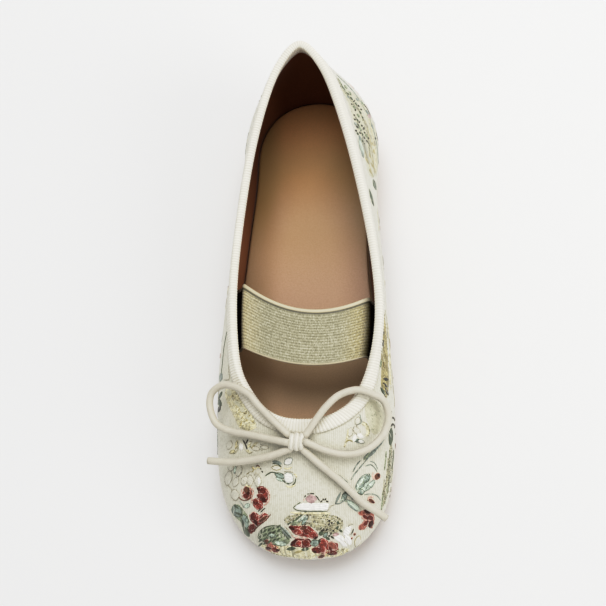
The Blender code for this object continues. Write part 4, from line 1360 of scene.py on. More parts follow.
LATTICE = Spray((205, 467), petals=[
    ("brown", -4.6, 4.8, 130, 4.8, 3.4), ("brick", -1.6, 7.2, 130, 5.2, 3.2),
    ("maroon", -3.4, 9.4, 100, 5, 2), ("deep red", 1.4, 10.4, 100, 6, 3.6),
    ("maroon", 3.2, 10.6, 90, 3.4, 2.2),
], leaves=[
    ("slate", 9.2, -2.6, 137, 13, 3.2), ("mint", 5.4, 5.6, 100, 9, 3.4), ("mint", -0.6, 0, 100, 6, 2.6),
] + [
    ("green", -9.2 + 3.3 * column, 3.8 - 1.1 * column + 3 * row, 50, 4.4, 1.5)
    for column in range(5)
    for row in range(-2, 2)
], lines=[
    ("green", 0.9, (-11.4, 1.6), (-9.4, -2.8), (-6, -5.6), (-1, -7), (3.6, -7.2)),
    ("green", 0.9, (-11.2, 2), (-7, 4.6), (0, 6.4), (7, 7.6)),
    ("green", 1.1, (5.2, -7), (9, -3), (13.2, 1.6)), ("green", 1.1, (6.2, -2.6), (9.6, 0.4), (11.8, 3)),
    ("taupe", 0.9, (8.8, -6.8), (11.8, -3.6), (14.6, -0.2)), ("dark", 0.9, (-2, -2.4), (1.6, -2.2)),
], patches=[
    ("brick", (-7, 3), (-2.4, 3.2), (2, 7.2), (6.6, 9.4), (5, 12.8), (-0.4, 12.2), (-5.4, 10.4),
     (-4.6, 7)),
    ("sage", (-11, 1), (-9, -3), (-5.4, -5.6), (0, -6.8), (5, -6.4), (9, -2.4), (13, 2.4), (11, 6.4),
     (5, 7.4), (-2, 6), (-7.6, 4)),
])
POPPIES = Spray((230, 469), petals=[
    ("maroon", -11.2, -7.6, 110, 5, 2.8), ("red", -7, -5.2, 110, 6.8, 4.6),
    ("brown", -2.6, -8.2, 70, 5.6, 3.4), ("deep red", -0.4, -5.6, 130, 6, 4.4),
    ("red", 4, -3.4, 110, 7, 4.8), ("maroon", 2.4, -4.8, 130, 3.6, 1.8),
    ("maroon", 6.6, -1.2, 60, 3.2, 1.6), ("maroon", -9.8, 2.6, 50, 6.4, 2.4),
    ("red", -6.2, 3.2, 70, 5, 3.8), ("deep red", -1, 3, 95, 7, 5.2), ("red", 11.4, 3.2, 10, 8.4, 6),
    ("deep red", 7.4, 7.8, 100, 8.4, 4.8), ("maroon", 5.6, 8.8, 100, 4.6, 2.2),
    ("red", 11.4, 7.2, 40, 5, 3.8), ("brick", 18.6, 4.2, 120, 7.4, 5),
    ("deep red", 17, 6.4, 150, 4.6, 2.6), ("deep red", 19.2, 9.2, 100, 5.6, 3.6),
    ("maroon", 16.6, 10.2, 100, 4, 1.9), ("brown", 10.6, 12.2, 75, 5.4, 2.4),
], leaves=[
    ("teal", 5.6, 2.6, 75, 7, 4.6), ("dark", 9, 1.2, 20, 3.4, 1.8), ("green", -11.6, 7.2, 80, 8, 2.8),
    ("green", -1.4, 7.4, 80, 6.4, 2.6), ("bronze", -6.4, 9.4, 75, 7, 2),
], lines=[
    ("pink", 1.4, (-5.2, -2.2), (-1.6, -0.4), (1.6, -1.4)),
    ("pink", 1.2, (-11.4, -2.6), (-8.4, -0.6), (-5.6, -1.8)), ("pink", 1.1, (-4, 1), (-4, 5), (-5.2, 6)),
    ("pink", 1.6, (13.8, 6.4), (13, 9.4), (12.4, 11.4)),
    ("pink", 1.4, (17.4, 6.6), (19, 7.4), (21.6, 6.6)), ("pink", 1, (15.4, 1.6), (18.4, 1), (21.6, 2.2)),
], patches=[
    ("red", (-13.4, -9.2), (-9, -9.6), (-4, -10.6), (1, -10), (5, -6.8), (8.4, -3.4), (6.8, 0), (1, -1),
     (-4, -2), (-10, -3.4)),
    ("deep red", (-12.8, 4.8), (-9, 0), (-4, -0.2), (2.4, 0), (3.4, 5), (-1, 6.6), (-8, 6)),
    ("red", (2.6, 7.8), (8, 4), (9, -1), (14, -0.6), (16, 1.6), (22, 1.6), (23, 6), (22.2, 12), (15, 12),
     (10, 11.2), (5.4, 10.6)),
    ("straw", (-36, 4), (-31, 8.6), (-24, 11.4), (-14, 13.2), (-2, 14.4), (10, 14.8), (20, 13.4),
     (28, 10.2), (32, 6), (26, 5.6), (16, 6.4), (4, 6), (-10, 5.4), (-24, 4.6)),
])
LILY = Spray((257, 466), petals=[
    ("snow", 2.2, -3.6, 40, 9.6, 4.8), ("snow", -3.4, 1.8, 110, 8.4, 5), ("snow", 2.8, 2.8, 150, 8, 5.6),
    ("snow", -0.6, 5.6, 120, 6.4, 3.4), ("ivory", 9.8, 3.6, 200, 9, 4),
    ("taupe", 0.6, 1.2, 110, 2.6, 1.1), ("taupe", 1.6, 4, 80, 2.2, 1.1),
    ("brown", 7.6, -1.4, 30, 1.8, 1.4), ("brown", 5.4, 1.6, 60, 1.8, 1.1),
], lines=[
    ("dark", 0.8, (4.6, -1), (6, -2.8), (6.8, -5.4)), ("taupe", 0.8, (3, -6.6), (4.6, -8.8), (6.6, -8.4)),
    ("cream", 1.6, (12.4, 1.6), (10.6, 5.6), (7, 9)),
])
CLUSTER = Spray((273, 453), petals=[
    ("brick", -3, -3.8, 95, 6, 3.6), ("maroon", 0.8, -5, 110, 5.4, 3),
    ("deep red", -0.4, -1, 130, 5.4, 2.8), ("deep red", 3.2, -0.6, 130, 5, 3.4),
    ("maroon", 3.4, 3.8, 200, 6, 3.2), ("deep red", -0.4, 3.2, 215, 5.6, 3.6),
    ("brick", -3.4, 6, 225, 6, 3.6),
], leaves=[
    ("mint", -9.2, -9.2, 128, 13, 4.2), ("slate", -10.4, -8, 130, 11, 1.9),
    ("teal", -15.8, -15.4, 20, 7.6, 3.6), ("slate", -20.4, -14.4, 25, 10, 2),
], lines=[
    ("pink", 1.4, (-3.6, -0.8), (-0.4, 1.2), (3.6, 1.4)), ("ivory", 1, (1.4, 2.4), (0.6, 5.6), (-1, 7.6)),
    ("slate", 1.1, (-22.6, -10), (-19, -10.6), (-15.4, -13)),
    ("slate", 0.8, (-13.6, -17), (-11, -15.4), (-9.6, -13)),
    ("mint", 1.4, (-19, -12), (-17, -13.6), (-14.4, -11.6)),
], patches=[
    ("brick", (-6, -4.4), (-2, -6.4), (3.8, -6.8), (6, -2), (5.8, 3), (3.8, 7.4), (1.4, 6), (-1, 8.2),
     (-5.4, 8.4), (-4.2, 4.6), (-1.8, 1.4), (-3, -1.6)),
])
GRASS = Spray((274, 416), petals=[
    ("brown", 7, 6.4, 15, 5.4, 4), ("maroon", 7.8, 5.6, 20, 3.6, 2.2), ("brown", 2.8, 24.2, 120, 5, 2.8),
    ("maroon", 3.8, 25, 125, 2.8, 1.6),
], leaves=[
    ("mint", -4.6, 11.4, 35, 12, 4.6), ("teal", -0.6, 8.2, 30, 8, 3.6), ("teal", -4.2, 13.2, 40, 7, 2.4),
    ("mint", 2, 13, 38, 10, 3.4), ("teal", -4.8, 17.8, 70, 5, 4), ("slate", 4.4, -11.8, 218, 12, 2.8),
    ("sage", -0.6, -8, 218, 8, 2),
], lines=[
    ("slate", 1.5, (13, -24), (10.6, -18.4), (7, -14), (2.4, -9.4), (-2.4, -3.4)),
    ("slate", 1.1, (-2.4, -3.4), (-6.4, 1.4), (-9.6, 5.4), (-12, 9.4)),
    ("slate", 1, (-5, -5), (-8.2, -1), (-10.6, 3.6)), ("slate", 0.9, (0.8, -10.6), (-3, -6.2)),
    ("slate", 1, (-1.6, -0.8), (2.4, -1.9), (5.4, 0.6), (7, 3.4)),
    ("slate", 0.9, (1.8, -4.6), (5.2, -3), (7.4, 1.4)),
    ("slate", 1, (-3.4, 18.4), (0, 16), (3, 13.4), (5.6, 10.4)),
    ("slate", 0.9, (-2.4, 19.8), (3, 19.1), (7.2, 20.6), (9.6, 24)),
    ("slate", 0.8, (-9.2, 15.4), (-6.6, 9.6), (-2.6, 5.6), (1.4, 4.6)),
    ("slate", 1, (-21.6, 5.4), (-18, 8.4), (-14, 11.6)), ("pink", 1.4, (4.2, 3.4), (3.6, 6), (4.8, 9)),
    ("pink", 1.4, (0, 24.2), (1.2, 21.4), (4.4, 21.6)),
], patches=[
    ("mint", (-9, 15), (-6, 9), (-2, 5), (2, 4.4), (2.6, 8), (0, 13), (-2.6, 18.6), (-6, 20.4)),
])
BLOSSOM = Spray((267, 387), petals=[
    ("cream", -5.6, 4, 10, 6.4, 4.4), ("cream", -0.8, 2.6, 330, 6.6, 4.6),
    ("snow", 1.6, 6.2, 120, 5.6, 3.6), ("snow", -2.4, 8.2, 200, 5.4, 3.4),
    ("white", 2.4, 10.4, 110, 4.6, 2.8), ("cream", -0.2, -4.4, 20, 6, 4), ("teal", -1, 9.6, 70, 3.6, 2),
], lines=[
    ("straw", 2.4, (2.8, -2.9), (5.8, -1.4), (7.2, 3), (5.8, 6.6)),
    ("olive", 0.9, (3.6, -4), (7, -1.6), (8.4, 3), (6.8, 7.4)),
    ("straw", 1.5, (-7, 1.5), (-7.3, 5.9), (-8.8, 11.7), (-9.9, 14.6)),
    ("bronze", 1, (-8.8, 10.9), (-6.4, 9.6), (-3.7, 10.6)),
    ("slate", 0.8, (1.4, -9.4), (2.5, -3.6), (-1.1, -1.4)),
    ("taupe", 0.8, (-1.9, -4.3), (-0.6, -1.6), (-1.2, 2)),
    ("slate", 0.8, (-3.4, 7), (-1.2, 10.6), (1.4, 11.6)),
], patches=[
    ("pale olive", (5.6, -17), (11, -20.4), (17.6, -16), (19.6, -8), (17, 2), (11.6, 6), (8, -1), (5, -9)),
])
MARIGOLD = Spray((182, 376), petals=[
    ("pale olive", -9.4, -13.2, 160, 6.4, 4), ("straw", -7.4, -7, 180, 7, 5),
    ("pale olive", -3.4, -5.2, 140, 6, 4), ("straw", -4.6, 0, 170, 6.4, 4.6),
    ("pale olive", 0, -0.6, 140, 5.6, 4.2), ("straw", 0, 5.4, 160, 6, 4.6),
    ("pale olive", 4.4, 5, 140, 5.4, 4.2), ("straw", 1.4, 10.6, 180, 6, 4.2),
    ("straw", 6.2, 10, 150, 5.6, 4.6), ("bronze", -6.8, -10.6, 30, 2.6, 1.2),
    ("bronze", -3.7, -7, 20, 2.6, 1.2), ("bronze", -2.2, -0.6, 30, 2.8, 1.2),
    ("khaki", 2.8, 1.6, 20, 2.6, 1.3), ("khaki", 5.2, 4, 40, 2.8, 1.3),
    ("bronze", 0.2, 5.2, 30, 2.8, 1.3), ("khaki", 3.6, 6.8, 20, 2.8, 1.4),
    ("khaki", 7.8, 8.2, 50, 3.2, 1.8), ("khaki", -0.8, 10, 10, 3.2, 1.6),
    ("bronze", 5.8, 10.6, 30, 2.8, 1.4), ("gold", -4.2, 25.2, 10, 6.4, 1.8),
    ("gold", -7.4, 30.4, 60, 4.6, 2), ("straw", 5.6, 24.6, 30, 5.6, 2.2), ("straw", 5, 30, 110, 5, 2),
    ("straw", 9.8, 24.4, 60, 4.6, 1.8), ("snow", -0.8, 26.6, 170, 6.4, 3.2),
    ("cream", 10.2, 27.8, 100, 6, 3.4), ("cream", -9.4, 25.6, 20, 6.6, 4.4),
    ("cream", 16.6, 26.8, 95, 6.4, 3),
], leaves=[
    ("green", -16.2, -11.2, 25, 6.6, 2), ("green", -16.6, -5.4, 350, 6.6, 2.8),
    ("dark", -17.2, -0.8, 20, 5.4, 2.4), ("slate", -15.8, -24.4, 10, 7, 3),
], lines=[
    ("khaki", 0.9, (-8.4, -11.4), (-8, -8), (-9, -4)), ("khaki", 0.8, (-5, -8.4), (-4, -3.6), (-4.6, 0)),
    ("khaki", 0.8, (-3, 2), (-0.4, 0.4), (2.4, 2.6)),
    ("taupe", 0.8, (-20.6, -4), (-20.2, -10), (-17.6, -14.4), (-13.4, -17.2)),
    ("dark", 1.3, (0.4, 21.4), (2.2, 24.4), (3.8, 28.4)), ("dark", 1.3, (4.4, 21.2), (2.8, 24.2)),
    ("bronze", 1, (7, 27.8), (8.4, 26), (10, 25)),
    ("olive", 1, (-3.4, 22.7), (-3.1, 27.8), (-5.8, 31.4), (-8.6, 31)),
    ("olive", 0.9, (6.2, 22.6), (5.4, 25.6), (7.4, 27.4)),
    ("olive", 0.9, (2.8, 29.4), (5.4, 31.4), (7.8, 30.2)),
    ("taupe", 0.8, (13.4, 24.4), (15.6, 26.4), (14.4, 29.4)),
    ("slate", 1.3, (-19.4, 17.6), (-19, 22), (-18, 27.4)),
    ("green", 1.1, (-11.4, -58), (-13.6, -46), (-15, -32), (-16.4, -22)),
    ("taupe", 0.8, (-10, -33), (-9.8, -28), (-9.6, -23), (-13.6, -22.4)),
], patches=[
    ("straw", (-13, -15.4), (-7.6, -17), (-1, -9), (6, 0.6), (11.4, 11), (7, 15), (-1.4, 13.6), (-6.4, 4),
     (-11.6, -6)),
])
FERN = Spray((288, 350), petals=[
    ("dark", -2.6, -31.6, 0, 3.4, 1.2), ("dark", -2.8, -24, 0, 5.2, 1.6),
    ("bronze", -1, -19, 30, 3.6, 1.6), ("bronze", -0.6, -15, 0, 3, 1.4), ("sage", -4.8, -9.6, 0, 7, 2.2),
    ("bronze", -2, -3.6, 20, 6, 1.8), ("dark", -0.8, 2.2, 110, 4.2, 2.6),
    ("dark", -1.2, 6.4, 130, 5.4, 2), ("dark", -0.2, 11.2, 155, 6, 1.9), ("green", -2.8, 11, 150, 7, 2.2),
], leaves=[
    ("green", 2.8, 43.6, 184, 14, 3.6),
], lines=[
    ("khaki", 9, (-4, -50), (-2, -38), (-1, -20), (-0.6, 0), (-1, 16)),
    ("straw", 2.6, (0.6, -38), (1.8, -22), (2.6, -6), (2.8, 10)),
    ("bronze", 2.2, (-3.6, -20), (-3.4, -6), (-3.8, 8)), ("gold", 2.2, (1.6, -16), (2, -6), (2.2, 6)),
    ("taupe", 0.9, (3.4, -5), (4.6, 10), (6.2, 22)), ("taupe", 0.9, (-1.4, -48), (0, -39), (0.6, -28)),
    ("dark", 1.8, (1.4, 33.4), (2.8, 30.6), (4.6, 30), (6.4, 32.4)),
    ("dark", 1.7, (2.8, 36.4), (4.4, 34.6), (6.6, 37.6)),
    ("dark", 1.1, (3.4, 25), (3.2, 28), (2.4, 30.6)),
    ("olive", 7, (3, 49), (2.4, 62), (0.4, 78), (-3, 94)),
] + [
    (thread, 1.5, (-0.6 + step, top), (-1 + step, top + 7), (-2 + step, top + 14))
    for step, thread, top in (
        (0, "sage", 54), (1.4, "olive", 59), (3, "sage", 52), (4.6, "olive", 63), (5.4, "green", 53),
        (-1.4, "olive", 74), (0.4, "sage", 78), (2, "green", 71), (3.4, "olive", 80), (-2.4, "sage", 84),
    )
])
VINE = Spray((270, 164), petals=[
    ("green", -13.6, -23.6, 140, 4.6, 1.3), ("dark", -10.4, -19.4, 140, 3, 1),
    ("green", -7.6, -15.8, 140, 3.4, 1.2), ("dark", -5.8, -13.8, 60, 2, 1.1),
    ("green", -4.2, -11.8, 140, 3, 1.3), ("dark", -2.4, -10.2, 150, 2.4, 1.1),
    ("dark", -4.8, -7.4, 160, 2.2, 1.4), ("green", -1.2, -5.4, 140, 3, 1.2),
    ("dark", -5.2, -0.4, 120, 2.2, 1.2), ("green", -3.2, 0.2, 150, 2.8, 1.4),
    ("dark", -1.8, 1.6, 30, 2, 1), ("green", -2.6, 3.8, 150, 2.6, 1.3),
    ("dark", -3.4, 5.2, 140, 2.8, 1.5), ("dark", 1.2, 6.4, 165, 2.4, 1.5),
    ("green", -0.6, 7.6, 60, 2.2, 1.1), ("dark", -1.4, 9.4, 150, 2.2, 1.2),
    ("green", 0.4, 10.6, 160, 2.6, 1.1), ("dark", 1.6, 13.6, 170, 2.8, 1.4),
    ("dark", 3.2, 15.6, 130, 3, 1.6), ("green", 2.2, 17.2, 60, 2.4, 1.2),
    ("bronze", 7.4, 17.6, 150, 3, 1.4), ("bronze", 5.4, 26, 150, 5, 1.2),
    ("bronze", 7.6, 33.4, 150, 6, 1.2), ("bronze", 3.6, 29.4, 150, 5, 1.1),
    ("bronze", 6.4, 38, 150, 5, 1.1), ("mauve", 5.2, -2.6, 150, 4.6, 2.4),
    ("sage", -11.6, -24.2, 140, 4, 1.6), ("sage", -8.8, -19.6, 140, 3.6, 1.6),
    ("slate", -10, -17, 140, 3, 1.3), ("slate", -3.4, -14.8, 140, 3.4, 1.3),
    ("dark", -7.4, -11.6, 140, 1.8, 1), ("sage", -5.6, -9.4, 140, 3.4, 1.5),
    ("sage", 0.2, -12.2, 140, 4.2, 1.5), ("dark", -0.6, -7.6, 130, 1.8, 1.1),
    ("sage", -2.8, -3.2, 150, 4, 1.7), ("dark", -5.6, -3.6, 140, 1.8, 1.1),
    ("green", 0.6, -1.6, 140, 2.4, 1.2), ("slate", 3.8, -5.4, 150, 4.6, 1.6),
    ("slate", -4.6, 2.8, 150, 3.6, 1.5), ("dark", -0.1, 4.2, 140, 1.9, 1.2),
    ("sage", -1.4, 6.2, 150, 3.8, 1.6), ("taupe", 3.6, 4.2, 150, 4, 1.4),
    ("slate", 7.4, 4.8, 160, 5, 1.5), ("dark", -4.2, 7.8, 140, 1.8, 1.2),
    ("green", -3, 10, 150, 2.6, 1.2), ("dark", 2, 9.4, 150, 1.8, 1.1), ("slate", -1.4, 13, 155, 4.6, 1.6),
    ("sage", 3, 11.6, 150, 3.6, 1.4), ("taupe", 6.6, 12.4, 155, 4.4, 1.4),
    ("dark", 4.6, 13.4, 140, 2, 1.2), ("green", 0.4, 15.6, 150, 2.4, 1.2),
    ("dark", 9.8, 13.6, 165, 2.6, 1.2), ("taupe", 9.2, 17, 165, 4, 1.2),
    ("bronze", 8.6, 23.2, 160, 4, 1.1),
], leaves=[
    ("green", 9.2, 47.2, 165, 9, 2.2), ("green", 7, 56.6, 165, 14, 1.6), ("mint", -0.4, 20, 165, 13, 2.4),
    ("slate", 0.4, 24.6, 165, 7, 1.4),
], lines=[
    ("straw", 6, (-2, -14), (4, -4), (7, 8), (9.6, 24), (10.4, 39)),
    ("olive", 3.6, (-4, -11), (0.4, -1), (4, 12), (6.4, 28)),
    ("bronze", 0.9, (2, 0), (5.4, 12), (7.6, 26), (9, 39)), ("taupe", 0.9, (0.4, -3), (3.4, 7), (6, 20)),
    ("olive", 4.6, (-20.4, -34), (-14.4, -24), (-7.4, -14), (-2.6, -7)),
    ("olive", 4.4, (-5.4, -4), (-2.8, 3), (0.6, 12), (3.4, 19)),
    ("slate", 1.7, (-18.4, -33.4), (-10.4, -25.6), (-4, -17.8), (0.8, -9.4), (5.4, -1)),
    ("slate", 1.5, (5.4, -1), (8.8, 9.4), (11, 20), (12, 32)),
    ("dark", 1.3, (1.6, -11.4), (4.4, -7), (6.4, -2.6)), ("dark", 1.1, (10.2, 9), (11.4, 14), (12.4, 19)),
    ("sage", 1.2, (-17.6, -31), (-13, -23), (-8, -14)), ("bronze", 0.9, (2, 22), (4.6, 31), (8, 42)),
    ("bronze", 0.9, (4.6, 22), (7.4, 30), (10, 39)),
    ("pale olive", 2.4, (11, 65), (11.8, 73), (12.2, 81)),
], patches=[
    ("pale olive", (-16, -25), (-11.4, -16), (-5.6, 2), (-1.4, 16), (2.8, 31), (5.4, 41.6), (10.4, 42),
     (11.8, 31), (11.4, 18), (9.6, 5), (3.4, -8), (-3.6, -19)),
])
SEEN_SPRAYS = [
    BERRIES, DAISY, BUDS, BARGE, MEADOW, LATTICE, POPPIES,
    LILY, CLUSTER, GRASS, BLOSSOM, MARIGOLD, FERN, VINE,
]

# Where sprays lie on the sides that the photograph doesn't show: the section and share of the
# wall's height under a spray's middle, its clockwise turn, and whether it is mirrored
Seat = namedtuple("Seat", "spray section share turn mirrored")
HIDDEN_SEATS = [
    (POPPIES, 1.1, 0.40, -90, False), (VINE, 1.9, 0.62, -60, False), (BUDS, 2.5, 0.30, -90, False),
    (BERRIES, 3.2, 0.55, -80, False), (LATTICE, 3.9, 0.25, -95, False), (BARGE, 4.3, 0.60, -90, False),
    (POPPIES, 5, 0.40, -100, True), (DAISY, 5.7, 0.45, -90, False), (CLUSTER, 6.4, 0.42, -60, False),
    (BUDS, 6.9, 0.22, -80, True), (GRASS, 7.6, 0.30, -40, False), (LILY, 8.4, 0.22, -30, False),
    (BUDS, 9.5, 0.16, -20, False), (DAISY, 10.5, 0.16, 90, False), (BUDS, 11.4, 0.15, 0, True),
    (BERRIES, 12.3, 0.17, -90, False), (LATTICE, 13.3, 0.22, 0, False), (POPPIES, 14.2, 0.27, 60, False),
    (BARGE, 15, 0.32, 80, False), (BERRIES, 15.8, 0.36, 90, True), (DAISY, 16.5, 0.40, 90, True),
    (LATTICE, 17.1, 0.35, 90, False), (POPPIES, 17.8, 0.48, 85, False), (BUDS, 18.5, 0.30, 90, True),
    (GRASS, 19.1, 0.42, 80, False), (CLUSTER, 19.8, 0.30, 90, True), (BERRIES, 20.5, 0.35, 70, False),
    (DAISY, 21.3, 0.45, 60, True), (LILY, 0.2, 0.70, 0, False), (BUDS, 21.8, 0.22, 80, False),
]
SEAT_STEP = 0.02  # a short way up the wall, as a share of it, to read a seat's upright from


def mark_border(mark, sharp, middle):
    """The outline of a petal, or of a leaf that is sharp at both ends, ragged by where its spray is."""
    turn = np.linspace(0, 2 * math.pi, MARK_POINTS, endpoint=False)
    x, y = middle[0] + mark.x, middle[1] + mark.y
    ragged = 1 + RAGGED * np.sin(5 * turn + 3 * x) * np.cos(3 * turn - 2 * y)  # no two alike
    along = -np.cos(turn) / 2
    across = np.sin(turn) / 2 * ragged
    if sharp:
        across = across * np.abs(np.sin(turn)) ** LEAF_TAPER
    else:
        along = along * np.abs(np.cos(turn)) ** PETAL_FULL * ragged
        across = across * np.abs(np.sin(turn)) ** PETAL_FULL
    way = math.radians(mark.turn)
    x = mark.x + across * mark.width * math.cos(way) + along * mark.length * math.sin(way)
    y = mark.y + across * mark.width * math.sin(way) - along * mark.length * math.cos(way)
    return np.column_stack([x, y])


def even_border(border):
    """The same closed border with its points no further apart than holds a patch to the cloth."""
    closed = np.vstack([border, border[:1]])
    run = run_along(closed)
    count = max(len(border), round(run[-1] / PATCH_STEP))
    return points_at(np.arange(count) * run[-1] / count, run, closed)


class Cloth:
    """The brocade's outer face, for laying thread on."""

    def __init__(self, piece):
        points = np.array([v.co for v in piece.data.vertices]) / METRES
        faces = [tuple(p.vertices) for p in piece.data.polygons]
        self.tree = BVHTree.FromPolygons(points.tolist(), faces[: UPPER_STEPS * UPPER_SPOKES])

    def nearest(self, points):
        """(points, normals) on the cloth by these points."""
        found = [self.tree.find_nearest(Vector(p))[:2] for p in points]
        return np.array([f[0] for f in found]), np.array([f[1] for f in found])

    def seen(self, spray):
        """A function that lays drawn points where the photograph's camera saw them on the cloth."""
        place = PHOTO_PLACE - CENTRE

        def lay(points):
            found = []
            for x, y in np.asarray(points, float) + spray.middle:
                ray = pixel_ray(x, y)
                missed = place + ray * (INSTEP_HEIGHT / 2 - place[2]) / ray[2]
                found.append(self.tree.ray_cast(Vector(place), Vector(ray))[0] or missed)
            return np.array(found)

        return lay

    def out_of_sight(self, points):
        """Whether these points lie apart on the cloth, where the photograph's camera saw none of them."""
        on, facing = self.nearest(points)
        hidden = ((PHOTO_PLACE - CENTRE - on) * facing).sum(axis=1) < 0
        return bool(hidden.all() and np.linalg.norm(np.diff(on, axis=0), axis=1).min() > APART)

    def seated(self, seat):
        """A function that lays drawn points round a seat on the cloth."""
        around = np.array([section_place(seat.section)])
        (here, above), (facing, _) = wall_grid(around, share=[seat.share, seat.share + SEAT_STEP])
        here, facing, up = here[0], facing[0], unit((above - here)[0])
        right = np.cross(up, facing)
        way = math.radians(seat.turn)

        def lay(points):
            x, y = np.asarray(points, float).T * PIXEL
            x = -x if seat.mirrored else x
            across = x * math.cos(way) - y * math.sin(way)
            down = x * math.sin(way) + y * math.cos(way)
            return self.nearest(here + np.outer(across, right) - np.outer(down, up))[0]

        return lay


class Threadwork:
    """The patches and lines of one thread, gathered into one mesh."""

    def __init__(self, cloth):
        self.cloth = cloth
        self.points = []
        self.faces = []
        self.count = 0

    def add(self, points, faces):
        self.points.append(points)
        self.faces += [tuple(self.count + v for v in face) for face in faces]
        self.count += len(points)

    def patch(self, border, rise):
        """A low cushion of thread inside a border that lies on the cloth."""
        border = even_border(border)
        middle = border.mean(axis=0)
        on, facing = self.cloth.nearest([middle])
        if np.cross(border - middle, np.roll(border, -1, axis=0) - middle).sum(axis=0).dot(facing[0]) < 0:
            border = border[::-1]
        top = [on + facing * rise, on - facing * SINK]
        n = len(border)
        reach = np.linalg.norm(border - middle, axis=1).max()
        insets = np.linspace(PATCH_TOP, 0, max(2, round(reach / PATCH_STEP)), endpoint=False)
        shoulder, share = PATCH_SHOULDER
        rings = []
        for inset, height in [(1.0, -SINK), (shoulder, share * rise)] + [(i, rise) for i in insets]:
            on, facing = self.cloth.nearest(middle + (border - middle) * inset)
            rings.append(on + facing * height)
        last = (len(rings) - 1) * n
        faces = []
        for k in range(n):
            m = (k + 1) % n
            faces += [(r + k, r + m, r + n + m, r + n + k) for r in range(0, last, n)]
            faces += [(last + k, last + m, last + n), (m, k, last + n + 1)]
        self.add(np.concatenate(rings + top), faces)

    def line(self, path, width, rise):
        """A raised line of thread along a path on the cloth."""
        on, facing = self.cloth.nearest(path)
        ahead = np.gradient(on, axis=0)
        ahead /= np.linalg.norm(ahead, axis=1)[:, None] + MET
        side = np.cross(ahead, facing)
        start, narrow = LINE_TAPER
        taper = np.clip(np.sin(np.linspace(start, math.pi - start, len(on))) * narrow, 0, 1)[:, None]
        half = side * width / 2 * taper
        top, low = on + facing * rise, on - facing * SINK
        corners = [top - half * LINE_TOP, top + half * LINE_TOP, low + half, low - half]
        self.add(np.stack(corners, axis=1).reshape(-1, 3), loft_faces(len(on), len(corners)))


def draw_spray(spray, lay, wanted, threads):
    """Embroiders what is wanted of one spray, laid on the cloth by a function."""
    for thread, *points in spray.patches:
        border = smooth_points(points, closed=True, pieces=PATCH_PIECES)
        wander = np.sin(WANDER_TURN * np.arange(len(border)))[:, None] * np.array(WANDER)
        border = lay(border + wander)
        if wanted(border):
            threads[thread].patch(border, PATCH_RISE)
    for order, (thread, width, *points) in enumerate(spray.lines):
        path = lay(smooth_points(points))
        if wanted(path):
            rise = LINE_RISE if width < BAND else BAND_RISE
            threads[thread].line(path, width * PIXEL, rise + LAYER * (order % LAYERS["line"]))
    for rows, sharp, rise in ((spray.leaves, True, LEAF_RISE), (spray.petals, False, PETAL_RISE)):
        for order, mark in enumerate(Mark(*row) for row in rows):
            border = lay(mark_border(mark, sharp, spray.middle))
            if not wanted(border):
                continue
            threads[mark.thread].patch(border, rise + LAYER * (order % LAYERS["mark"]))
            if mark.thread in REDS:
                wide = mark._replace(length=mark.length + EDGE, width=mark.width + EDGE)
                edge = lay(mark_border(wide, sharp, spray.middle))
                if wanted(edge):
                    threads["pink"].patch(edge, EDGE_RISE + LAYER * (order % LAYERS["edge"]))
            if mark.thread in OUTLINED:
                outline = np.vstack([border[1:], border[:2]])
                threads[OUTLINED[mark.thread]].line(outline, OUTLINE * PIXEL, LINE_RISE)


# Flecks of thread: the ground that they lie on, their own thread, and how many are on a square metre
SPECKLES = [
    ("olive", "dark", 0.7e6), ("olive", "green", 0.8e6), ("olive", "cream", 1.2e6),
    ("straw", "bronze", 0.9e6), ("straw", "gold", 1.0e6), ("pale olive", "sage", 0.2e6),
    ("khaki", "dark", 0.5e6), ("khaki", "gold", 0.9e6), ("sage", "green", 0.9e6),
    ("red", "maroon", 0.6e6), ("red", "pink", 0.25e6), ("deep red", "maroon", 0.7e6),
    ("deep red", "brick", 0.6e6), ("brick", "deep red", 0.7e6), ("teal", "green", 0.5e6),
    ("mint", "sage", 0.6e6),
]
FLECK_SIZE = 0.28
FIRST_SEED = 3
THREAD_SLANT = 0.7  # how far the threads' map leans with height


def make_embroidery(upper, flecks):
    """All the thread on the cloth: a piece for each colour, and flecks over the speckled grounds."""
    cloth = Cloth(upper)
    threads = {name: Threadwork(cloth) for name in THREADS}
    for spray in SEEN_SPRAYS:
        draw_spray(spray, cloth.seen(spray), lambda points: True, threads)
    for seat in (Seat(*row) for row in HIDDEN_SEATS):
        draw_spray(seat.spray, cloth.seated(seat), cloth.out_of_sight, threads)
    materials = {name: thread_material(name, code) for name, code in THREADS.items()}
    pieces = {}
    for name, work in threads.items():
        points = np.concatenate(work.points)
        uv = np.column_stack([points[:, 1] - THREAD_SLANT * points[:, 2], points[:, 0]])
        label = name.replace(" ", "_") + "_thread"
        pieces[name] = make_piece(label, points, work.faces, materials[name], uv)
    for seed, (ground, fleck, density) in enumerate(SPECKLES, FIRST_SEED):
        name = (fleck + " flecks on " + ground).replace(" ", "_")
        piece = link_object(name, pieces[ground].data.copy())
        size = FLECK_SIZE * METRES
        apply_tree(piece, flecks, Density=density, Size=size, Seed=seed, Material=materials[fleck])
        pieces[name] = piece
    return list(pieces.values())


# The stage

SENSOR = 36.0  # the camera's, in millimetres
FLOOR_HALF = 4000.0
FLOOR_DROP = 0.1  # the floor lies this far under the sole
FLOOR_TONE = (0.84, 0.84, 0.835, 1)
ROOM_TONE = (1.0, 1.0, 1.0, 1)
ROOM_STRENGTH = 0.53
Light = namedtuple("Light", "name place size power")  # in metres and watts
LIGHTS = [
    Light("window", (0.08, 0.42, 1.15), 0.9, 7.5),
    Light("side_fill", (1.05, -0.5, 0.6), 0.9, 4.1),
]

